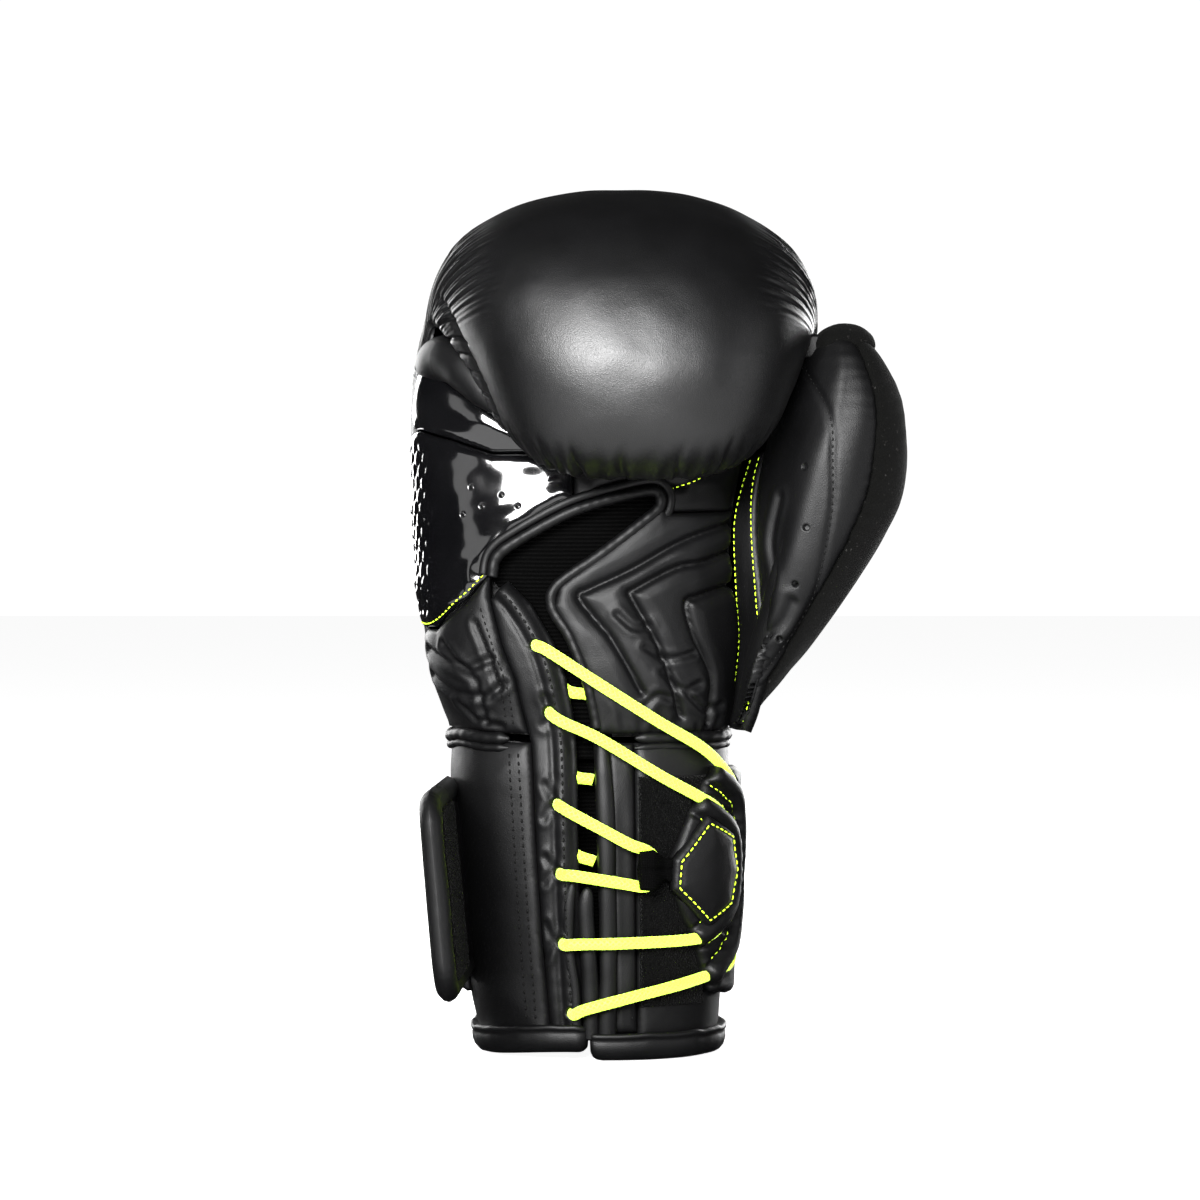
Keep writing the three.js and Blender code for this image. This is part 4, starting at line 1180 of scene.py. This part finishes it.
def dome_cap(name, centre, radii, material, body):
    """A small closed ellipsoid cushion."""
    rows, columns = 20, 32
    lat = np.linspace(-math.pi / 2 + 0.05, math.pi / 2 - 0.05, rows)
    lon = np.linspace(0, 2 * math.pi, columns, endpoint=False)
    ring = np.array([[math.cos(a) * math.cos(b), math.cos(a) * math.sin(b), math.sin(a)]
                     for a in lat for b in lon])
    points = np.concatenate([ring, [[0, 0, -1], [0, 0, 1]]])
    points = points * radii * (1 + 0.04 * noise(points, 0.5, 99))[:, None] + centre
    faces = grid_faces(rows, columns, closed=True)
    first, last = rows * columns, rows * columns + 1
    for i in range(columns):
        j = (i + 1) % columns
        faces += [(first, j, i), (last, (rows - 1) * columns + i, (rows - 1) * columns + j)]
    obj = mesh_object(name, place(points), faces)
    declare(obj, body=body, material=material)
    return obj


def thumb_tip():
    cap = dome_cap("thumb_tip_cushion", (90.0, -30, 262.6), (11.6, 8.6, 7.6), SUEDE, "thumb")
    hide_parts("thumb_cap")
    tab = slab_box("thumb_tab_leather", (74.5, -33.5, 257.5), (84, -26.5, 266.0), LEATHER, "thumb")
    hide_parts("thumb_tab")


def slab_box(name, low, high, material, body, rounding=1.2):
    """A block with softly rounded edges."""
    mesh = bpy.data.meshes.new(name)
    corners = [(x, y, z) for z in (low[2], high[2]) for y in (low[1], high[1]) for x in (low[0], high[0])]
    quads = [(0, 2, 3, 1), (4, 5, 7, 6), (0, 1, 5, 4), (2, 6, 7, 3), (0, 4, 6, 2), (1, 3, 7, 5)]
    mesh.from_pydata([tuple(p) for p in place(corners)], [], quads)
    mesh.update()
    obj = bpy.data.objects.new(name, mesh)
    bpy.context.scene.collection.objects.link(obj)
    bevel = obj.modifiers.new("round", "BEVEL")
    bevel.width = rounding * MM
    bevel.segments = 3
    settle(obj)
    obj.data.shade_smooth()
    declare(obj, body=body, material=material)
    return obj


def settle(obj):
    """Turn an object's modifiers into its mesh."""
    graph = bpy.context.evaluated_depsgraph_get()
    made = bpy.data.meshes.new_from_object(obj.evaluated_get(graph))
    obj.modifiers.clear()
    obj.data = made


# ---- cuff ----
def cuff_panel(name, outline, node, seed, rise=1.6):
    def height(p, edge):
        return crown(edge, 1.5, 4.5, rise) + 0.5 * noise(p, (26, 34), seed) + 0.12 * noise(p, 7, seed + 1)

    return sewn(Panel(CORE_SHEET, outline, height), name, LEATHER, 1.6, nodes=[node], fill=0.7)


def lace_facing_left():
    eyelets = [LINE([p])[0] for p in EYELETS]
    ridge = curve(LINE([[x - 4.2 - 0.012 * (z - 10), z] for x, z in SLOT_LEFT]), 2.0)

    def height(p, edge):
        h = crown(edge, 1.7, 3.5, 0.7) + 0.2 * noise(p, (9, 18), 101)
        d = distance_to(p, ridge)
        h += 1.1 * bell(d, 2.0) - 0.9 * bell(d - 3.6, 1.2)
        h += 0.14 * np.exp(-d / 4) * np.sin(p[:, 1] * 0.85 + 2.4 * noise(p, 9, 102))
        for eye in eyelets:
            r = np.linalg.norm(p - eye, axis=1)
            h -= 2.5 * (1 - smooth(1.5, 2.3, r)) - 0.35 * bell(r - 2.6, 0.5)
        for low, tall in ((95, 12), (70, 9), (44, 12), (128, 10)):
            h += crease(p, LINE([[-20.5, low - tall / 2], [-17, low], [-20, low + tall / 2]]), 0.5, 1.3, 0.4)
        return h

    outline = FACING_EDGE + [[-34.5, 175.5]] + SLOT_LEFT[::-1]
    outline = [[x + (0.2 if i < 8 else 0.0), z] for i, (x, z) in enumerate(outline)]
    panel = sewn(Panel(CORE_SHEET, outline, height, holes=eyelets), "lace_facing_left_leather", SOFT, 0.9,
                 2.6, nodes=["lace_facing_left"])
    return panel, ridge


def lace_facing_right():
    def height(p, edge):
        left = distance_to(p, binding)
        h = crown(edge, 1.5, 3.0, 0.5) + 0.3 * noise(p, (5, 12), 111)
        h += 1.3 * bell(left - 1.8, 2.4) - 0.9 * bell(left - 5.4, 0.9)
        h += 0.15 * np.exp(-left / 3) * np.sin(p[:, 1] * 1.2 + 3 * noise(p, 8, 112))
        return h

    binding = LINE([[SLIT_RIGHT, 10], [SLIT_RIGHT, 117]])
    outline = [[SLIT_RIGHT, 10], [285.6, 10], [285.6, CUFF_HIGH], [SLIT_RIGHT, CUFF_HIGH]]
    return sewn(Panel(CORE_SHEET, outline, height), "lace_facing_right_leather", SOFT, 0.9, 2.6,
                nodes=["lace_facing_right"])


def slit_bindings():
    """The two folded edges that meet below the bar tack, and a fold beside the left one."""
    routes = {
        "slit_binding_right": ([[2.6, 8], [3.0, 30], [2.8, 62], [2.2, 88], [1.2, 108], [0.6, 120]], 3.3, 118),
        "slit_binding_left": ([[-3.2, 8], [-3.5, 28], [-4.6, 45], [-5.2, 56], [-4.4, 64]], 3.0, 119),
        "slit_fold_left": ([[-8.6, 8], [-9.0, 25], [-11.2, 40], [-11.4, 56], [-9.8, 66]], 2.0, 120),
    }
    for name, (route, size, seed) in routes.items():
        line = curve(LINE(route), 0.7)
        spots = np.stack([line[:, 1], 0 * line[:, 1]], axis=1)
        points, normals = CORE_SHEET.lift(line, 0.2 + 0.3 * noise(spots, 14, seed))
        t = np.linspace(0, 1, len(line))
        radius = size * (1 + 0.09 * noise(spots, 9, seed)) * np.sqrt(np.clip(1 - t**16, 0.02, 1))
        obj = tube(name, place(points), radius * MM, 18, 0.62, normals)
        declare(obj, material=SOFT)


def tongue():
    def height(p, edge):
        return -12.6 + 0.5 * noise(p, (8, 20), 115)

    sewn(Panel(CORE_SHEET, [[250, 12], [292, 12], [292, 120], [250, 120]], height), "tongue_ribbed_mesh",
         RIB, 2.5, 1.2, nodes=["tongue"])


def cuff_lining():
    def height(p, edge):
        return -9.5 + 0.3 * noise(p, 20, 117)

    sewn(Panel(CORE_SHEET, [[272, 4], [599, 4], [599, 117], [272, 117]], height), "cuff_lining_cloth",
         LINING, 3.5, 2.4, nodes=["cuff_lining", "cuff_pad_left", "cuff_pad_right", "cuff_pad_back"])


def hem(name, node, turn, waviness, drop):
    """The binding folded over the bottom edge: a swept closed band with a piped upper edge."""
    wall = [(-1.0, 9.6), (0.9, 10.4), (1.9, 9.6), (1.7, 8.4), (1.1, 7.9), (1.6, 7.0), (2.0, 4.6), (1.8, 2.4),
            (0.9, 0.9), (-1.4, 0.25), (-5.0, 0.2), (-9.0, 0.4), (-11.4, 1.6), (-12.2, 4.0), (-12.0, 8.6),
            (-10.0, 9.4), (-5.0, 9.4)]
    count = 260
    degrees = np.linspace(turn[0], turn[1], count)
    points = []
    for i, d in enumerate(degrees):
        ripple = waviness * noise([[i * 0.35, 0.5]], 3.0, 121)[0]
        raised = drop * smooth(190, 262, d) * smooth(300, 268, d)
        near_end = min(d - turn[0], turn[1] - d)
        full = math.sqrt(1 - (1 - min(near_end / 4.0, 1.0)) ** 2)
        for out, z in wall:
            top = smooth(3, 9, z)
            high = max(z + ripple * top + raised + 3.0 * (1 - full) * (1 - top), 0.15)
            points.append(core(d, high, -((out + 1.2) * (0.35 + 0.65 * full) + 0.35 * ripple)))
    points = np.array(points)
    sides = len(wall)
    faces = grid_faces(count, sides, closed=True)
    faces.append(tuple(range(sides))[::-1])
    faces.append(tuple((count - 1) * sides + i for i in range(sides)))
    obj = mesh_object(name, place(points), faces)
    declare(obj, nodes=[node], material=SOFT)


def wrist_roll(name, node, turn, seed):
    degrees = np.linspace(turn[0], turn[1], 200)
    line = core(degrees, np.full(200, WRIST_Z), 0.2)
    run = np.concatenate([[0], np.cumsum(np.linalg.norm(np.diff(line, axis=0), axis=1))])
    spots = np.stack([run, 0 * run], axis=1)
    radius = 2.2 + 0.07 * np.sin(run * 1.15 + 2.5 * noise(spots, 11, seed)) + 0.16 * noise(spots, 7, seed + 1)
    radius *= smooth(-2, 4, run) * smooth(run[-1] + 2, run[-1] - 4, run)
    line[:, 2] += 0.7 * noise(spots, 16, seed + 2)
    outwards = line - np.array([0, 0, 1]) * line[:, 2:] - np.array([-3, 0, 0])
    obj = tube(name, place(line), radius * MM, 16, 1.0, outwards)
    declare(obj, nodes=[node], material=SOFT)
    lower = line - np.array([0, 0, 3.3]) + 0.4 * noise(spots, 12, seed + 3)[:, None]
    obj = tube(name.replace("roll", "fold"), place(lower), radius * 0.7 * MM, 12, 1.0, outwards)
    declare(obj, material=SOFT)


# ---- laces ----
def front_point(x, z, inset=0.0):
    p, _ = CORE_SHEET.lift(LINE([[x, z]]), -inset)
    return p[0]


def lace(name, node, first, last, over, tail_in, tail_out):
    def through(spot):
        x, z = spot
        return [front_point(x, z, 5), front_point(x, z, 1.2), front_point(x + 1.2, z - 0.4, -2.6)]

    top = [core(float(a), float(z), -LACE_OUT) if a > 100 else front_point(a, z, -LACE_OUT) for a, z in over]
    route = ([front_point(*p) for p in tail_in] + through(EYELETS[first]) + top
             + through(EYELETS[last])[::-1] + [front_point(*p) for p in tail_out])
    line = curve(np.array(route), LACE_STEP)
    outwards = np.stack([line[:, 0] * 0.85 + 3, line[:, 1], 0 * line[:, 2]], axis=1)
    outwards /= np.linalg.norm(outwards, axis=1)[:, None]
    spots = np.stack([np.arange(len(line)) * LACE_STEP, 0 * line[:, 0]], axis=1)
    braid = 0.05 * np.abs(np.sin(spots[:, 0] * math.pi / 2.1))
    radius = LACE_RADIUS * (1 + 0.035 * noise(spots, 6, 131) + braid)
    obj = tube(name, place(line), radius * MM, 20, 0.78, outwards)
    declare(obj, nodes=[node], material=CORD)


def laces():
    lace("lace_outer_cord", "lace_outer", 0, 5,
         [[-18, 149.5], [0, 138], [20, 124.5], [35, 113], [43, 104], [345, 95], [352, 85], [354, 69],
          [352, 53], [345, 42], [43, 33], [30, 29], [10, 24], [-5, 19.8]],
         [[-4.5, 133.5, 3.4], [-13, 135.5, 3.6], [-21, 146, 6.2]], [[-14, 20, 6.6]])
    lace("lace_inner_cord", "lace_inner", 1, 4,
         [[-13, 124.5], [0, 117], [20, 104.5], [33, 96.5], [39.5, 91.5], [334, 84], [339, 77], [340.5, 69],
          [339, 61], [334, 54], [38.5, 46.5], [30, 44.5], [10, 44], [-8, 43.6]],
         [[-2.5, 103, 3.4], [-11, 106, 3.6], [-17, 121, 6.2]], [[-17.5, 45, 6.6]])
    lace("lace_centre_cord", "lace_centre", 2, 3,
         [[-10, 91], [0, 85.5], [10, 79.8], [15.5, 77.5], [18.6, 74.5], [19.4, 70.5], [18.4, 66.5],
          [15, 64.4], [8, 65.6], [-8, 68.3]],
         [[-2, 73, 3.4], [-10, 76.5, 3.6], [-15, 88, 6.2]], [[-18.8, 70.5, 6.6]])


# ---- strap ----
OUTER_LANE = [[42, 105], [340, 96], [346.5, 85], [348.7, 69], [346.5, 53], [340, 41], [42, 31]]
INNER_LANE = [[38, 93], [334, 84], [339, 77], [340.5, 69], [339, 61], [334, 54], [37, 45]]
PATCH = [[38.5, 89.5], [26.4, 74], [25.8, 63], [38.5, 48.5], [333, 55.5], [338, 69], [333, 82.5]]


def offset_line(line, by):
    """A flat line moved sideways."""
    t = np.gradient(line, axis=0)
    t /= np.linalg.norm(t, axis=1)[:, None]
    return line + np.stack([t[:, 1], -t[:, 0]], axis=1) * by


def strap_parts():
    sheet = STRAP_SHEET
    lanes = [curve(sheet.flat(line), 1.5) for line in (OUTER_LANE, INNER_LANE)]

    def anchor_height(p, edge):
        h = crown(edge, 2.4, 3.0, 0.4) + 0.3 * noise(p, 9, 141)
        for lane in lanes:
            d = distance_to(p, lane)
            h += 3.0 * np.sqrt(np.clip(1 - (d / 3.6) ** 2, 0, 1)) - 0.9 * bell(d - 4.6, 0.8)
            h += 0.4 * np.exp(-((d - 4.6) / 2.0) ** 2) * np.sin(p[:, 1] * 1.3 + 2 * noise(p, 6, 142))
        return h

    outline = [[27.5, 62], [26.8, 74], [33.5, 89], [36.5, 95], [40, 102], [43.5, 107.5], [345, 107],
               [357, 105], [357, 22], [345, 22], [42, 24], [39, 33], [36.5, 43], [32, 51]]
    anchor = sewn(Panel(sheet, outline, anchor_height), "strap_anchor_leather", SOFT, 0.9, 3.6,
                  nodes=["strap_lace_anchor"])

    def patch_height(p, edge):
        return 3.2 + crown(edge, 1.6, 2.4, 1.2, 9) - 0.5 * bell(edge - 2.6, 0.6) + 0.25 * noise(p, 8, 145)

    patch = sewn(Panel(sheet, PATCH, patch_height), "strap_hex_patch", LEATHER, 0.9, 3.0,
                 nodes=["strap_patch"])

    def web_height(p, edge):
        over_lace = smooth(27, 20, p[:, 0])
        fold = -1.0 * bell(distance_to(p, web_fold), 0.9)
        ribs = 0.35 * np.abs(np.sin(p[:, 1] * 1.9 + 0.25 * p[:, 0]))
        return 0.6 + 3.9 * over_lace + ribs + fold + crown(edge, 1.6, 2.0)

    web_fold = sheet.flat([[14, 71], [30, 69.5]])
    web = Panel(sheet, [[14.2, 63.5], [13.4, 70.5], [14.2, 77.2], [19, 77.8], [24, 74.5], [29.5, 74.5],
                        [29.5, 63.8], [24, 66.5], [19, 62.8]], web_height)
    sewn(web, "webbing_loop_cloth", WEBBING, 0.7, 2.6, nodes=["webbing_loop"])

    def wrap_height(p, edge):
        return crown(edge, 2.0, 3.2, 0.9) + 0.3 * noise(p, (24, 18), 147) - 0.5 * bell(edge - 4.2, 0.7)

    turns = [358.5, 390, 420, 450, 480, 510, 530, 549]
    outline = [[t, 22] for t in turns] + [[t, 99] for t in turns[::-1]]
    wrap = sewn(Panel(sheet, outline, wrap_height), "strap_wrap_leather", LEATHER, 1.6, 3.0,
                nodes=["strap_wrap"])
    return anchor, patch, wrap, lanes


def loop_panel():
    def height(p, edge):
        return 1.8 + crown(edge, 0.9, 1.2) + 0.22 * noise(p, 1.9, 151) + 0.2 * noise(p, 9, 152)

    outline = [[287, 20], [323, 20], [323, 104], [287, 104]]
    sewn(Panel(CORE_SHEET, outline, height), "loop_panel_pile", LOOP_PILE, 0.8, 1.8, nodes=["loop_panel"])


# ---- flap ----
FLAP = dict(x=-49.8, y=-14.0, z=28.0, length=31.5, height=75.0, gap=2.5, heading=2.0, lean=5.4, thick=6.0)


def flap_axes():
    heading, lean = math.radians(FLAP["heading"]), math.radians(FLAP["lean"])
    along = np.array([-math.sin(heading), -math.cos(heading), 0.0])
    up = np.array([-math.sin(lean), 0.0, math.cos(lean)])
    towards = np.cross(up, along)
    towards /= np.linalg.norm(towards)
    return along, np.cross(along, towards), towards


def flap_parts():
    along, up, towards = flap_axes()
    sheet = Plane((FLAP["x"], FLAP["y"], FLAP["z"]), along, up)
    out = float(sheet.out @ towards)
    end = 3 * FLAP["length"] + 2 * FLAP["gap"] + 0.6
    tall = FLAP["height"]
    half = FLAP["thick"] / 2
    whole = rounded_end(-3.0, end, 0.0, tall, 15.0)
    closed = np.concatenate([whole, whole[:1]])

    def profile(p):
        edge = distance_to(p, closed)
        rim = np.sqrt(np.clip(1 - (1 - np.clip(edge / 4.2, 0, 1)) ** 2, 0, 1))
        swell = 0.9 * bell(edge - 4.0, 3.0) * smooth(0, 4, edge)
        return half * rim + 0.15 + swell - 0.8 * bell(edge - 8.6, 0.9)

    split = FLAP["length"] + FLAP["gap"] + FLAP["length"] / 2
    for name, low, high, nodes, pair, hinge in (
        ("flap_lower_leather", -3.0, split, ("flap_base", "flap_middle"), ("flap_a", "flap_b"), 1),
        ("flap_end_leather", split, end, ("flap_tip",), ("flap_b", "flap_c"), 2),
    ):
        outline = clip_s(whole, low, min(high + 0.6, end))

        def height(p, edge):
            return profile(p) + 0.25 * noise(p, 14, 161)

        def under(p, heights):
            return -profile(p) - 0.25 * noise(p, 14, 162)

        obj = Panel(sheet, outline, height, flat=True).build(name, LEATHER, 1.1, under)
        for node in nodes:
            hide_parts(node)
        bend_at_hinge(obj, sheet, hinge)
    pad_low, pad_high = FLAP["length"] + 4.0, end - 9.5
    pads = clip_s(rounded_end(pad_low, pad_high, 7.0, tall - 7.0, 10.0), pad_low, pad_high)
    lift = half + 0.5
    for name, low, high, node, pair in (
        ("hook_pad_middle_pile", pad_low, split, "hook_pad_middle", None),
        ("hook_pad_end_pile", split, pad_high, "hook_pad_tip", ("flap_b", "flap_c")),
    ):
        outline = clip_s(pads, low, high)

        def pile_height(p, edge):
            return (lift + 1.0 + crown(distance_to(p, np.concatenate([pads, pads[:1]])), 0.9, 1.2)
                    + 0.3 * noise(p, 1.7, 165)) * out

        def pile_under(p, heights):
            return heights * 0 + (lift - 1.2) * out

        obj = Panel(sheet, outline, pile_height, flat=True).build(name, HOOK_PILE, 0.9, pile_under)
        if out < 0:
            obj.data.flip_normals()
        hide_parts(node)
        if pair:
            bend_at_hinge(obj, sheet, 2)
        else:
            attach(obj, "flap_b")


def rounded_end(x0, x1, z0, z1, corner):
    """A rectangle with its two far corners rounded, counter-clockwise."""
    turn = np.linspace(-math.pi / 2, 0, 9)
    low = np.stack([x1 - corner + corner * np.cos(turn), z0 + corner + corner * np.sin(turn)], 1)
    high = np.stack([x1 - corner + corner * np.cos(turn + math.pi / 2),
                     z1 - corner + corner * np.sin(turn + math.pi / 2)], 1)
    return np.concatenate([[[x0, z0]], low, high, [[x0, z1]]])


def clip_s(outline, low, high):
    """The part of a convex outline between two upright lines."""
    for limit, sign in ((low, 1.0), (high, -1.0)):
        out = []
        for a, b in zip(outline, np.roll(outline, -1, axis=0)):
            da, db = (a[0] - limit) * sign, (b[0] - limit) * sign
            if da >= 0:
                out.append(a)
            if da * db < 0:
                out.append(a + (b - a) * da / (da - db))
        outline = np.array(out)
    return outline


def bend_at_hinge(obj, sheet, hinge):
    """Bake a flap piece's transform. The strip round one of the flap's two inner hinges is worked out, but
    the piece is not bent.
    """
    middle = hinge * (FLAP["length"] + FLAP["gap"]) - FLAP["gap"] / 2
    low, high = middle - FLAP_BEND, middle + FLAP_BEND
    start, end = place([sheet.origin + sheet.along * low, sheet.origin + sheet.along * high])
    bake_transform(obj)


def grip_bar():
    centre = (bar_low + bar_high) / 2
    centre[:2] -= AXIS
    line = np.stack([np.linspace(-36, 30, 60), np.full(60, centre[1]), np.full(60, centre[2])], axis=1)
    t = np.linspace(-1, 1, 60)
    radius = 8.0 * np.sqrt(np.clip(1 - np.abs(t) ** 14, 0.02, 1))
    obj = tube("grip_bar_cloth", place(line), radius * MM, 24)
    declare(obj, nodes=["grip_bar"], material=LINING)


# ---- sewing ----
def seam(name, runs, material, body, way=None, pitch=2.6, length=1.9, radius=0.32):
    obj = thread_dashes(name, runs, pitch * MM, length * MM, radius * MM)
    declare(obj, body=body, way=way, material=material)


def build():
    make_camera()
    make_stage()
    main_cover()
    main_lining()
    lower = palm_lower_left()
    side = side_panel_lower()
    side_panel_upper()
    finger_end_cap()
    top = palm_top()
    quilted = palm_quilted()
    gusset = thumb_gusset()
    finger_cover()
    slot_parts()
    palm_lining()
    front_thumb = thumb_parts()
    thumb_tip()
    grip_bar()

    beside_slit = [[x - 0.2, z] for x, z in FACING_EDGE if 9 <= z <= 116]
    outline = [[150, CUFF_LOW], [-19, CUFF_LOW]] + beside_slit + [[-26, CUFF_HIGH], [150, CUFF_HIGH]]
    left = cuff_panel("cuff_left_leather", outline, "cuff_cover_left", 201)
    outline = [[286, CUFF_LOW], [389.4, CUFF_LOW], [389.4, CUFF_HIGH], [286, CUFF_HIGH]]
    cuff_panel("cuff_right_leather", outline, "cuff_cover_right", 205, rise=0.3)
    outline = [[turn, CUFF_LOW] for turn in (390, 420, 450, 480, 509.6)]
    outline += [[509.6, CUFF_HIGH], [390, CUFF_HIGH]]
    cuff_panel("cuff_back_leather", outline, "cuff_cover_back", 209)
    facing, ridge = lace_facing_left()
    right = lace_facing_right()
    tongue()
    slit_bindings()
    cuff_lining()
    hem("hem_left_leather", "hem_binding_left", (110.5, 266.3), 0.6, 3.0)
    hem("hem_right_leather", "hem_binding_right", (267.3, 469.5), 0.4, 0.0)
    wrist_roll("wrist_roll_left_leather", "wrist_roll_left", (150, 239), 221)
    wrist_roll("wrist_roll_right_leather", "wrist_roll_right", (286, 389), 223)
    wrist_roll("wrist_roll_back_leather", "wrist_roll_back", (32, 145), 225)
    loop_panel()
    laces()
    anchor, patch, wrap, lanes = strap_parts()
    flap_parts()

    seam("stitch_channels", [quilted.on(c, lift=0.1) for c in CHANNELS], BLACK, "hand", HAND_TO_FIST)
    edges = strip(GUSSET_SHEET, 123, 222, 1.9)
    neon_gusset = [gusset.on(edges[30:][::-1], flat=True), gusset.on(edges[:30], flat=True)]
    threads = thread_dashes("stitch_gusset_neon", neon_gusset, 2.4 * MM, 1.9 * MM, 0.21 * MM)
    threads.data.materials.append(NEON)
    bend_thumb(threads, *GUSSET_BEND)
    seam("stitch_side_neon", [side.on([[181, 159.6], [-62, 160.2], [-50, 170.8], [-42, 179.5]])], NEON,
         "hand", HAND_TO_FIST, *FINE_STITCH)
    doubles = [left.on([[x - off, z] for x, z in ([-20.5, 14], [-22.5, 43], [-25, 80], [-27, 113])])
               for off in (3.0, 6.2)]
    doubles.append(facing.on(ridge, flat=True))
    seam("stitch_cuff", doubles, BLACK, "hand", None, 3.0, 2.2, 0.42)
    rows = [lower.on([[x - off, z] for x, z in ([-29, 122], [-31.5, 137], [-36.5, 151], [last, 166])])
            for off, last in ((2.6, -41.5), (5.0, -42.5))]
    seam("stitch_lower", rows, BLACK, "hand", HAND_TO_FIST)
    edge_lines = [offset_line(lane, by) for lane in lanes for by in (-4.7, 4.7)]
    strap_runs = [anchor.on(line, flat=True) for line in edge_lines]
    ring = dense(STRAP_SHEET.flat([[38.3, 86.8], [28.4, 73.4], [27.8, 63.6], [38.3, 51.2], [331.6, 57],
                                   [336, 69], [331.6, 81], [38.3, 86.8]]), 0.8)
    strap_runs.append(patch.on(ring, flat=True))
    seam("stitch_strap_neon", strap_runs, NEON, "hand", None, 2.7, 2.3, 0.30)
    rows = [right.on([[276.5, 14], [276.5, 60], [276.5, 112]]), right.on([[283, 14], [283, 19]])]
    seam("stitch_right", rows, BLACK, "hand")
    turns = list(range(360, 550, 10))
    seam("stitch_wrap_neon", [wrap.on([[t, z] for t in turns]) for z in (26.2, 94.8)], NEON, "hand", None,
         *FINE_STITCH)
    seam("stitch_thumb", [front_thumb.on(THUMB_STITCH)], BLACK, "thumb")
    seam("stitch_lip_neon", [top.on([[17, 206.5], [24, 208.6], [32, 211.2], [37, 213.4]])], NEON, "hand",
         HAND_TO_FIST, *FINE_STITCH)


build()
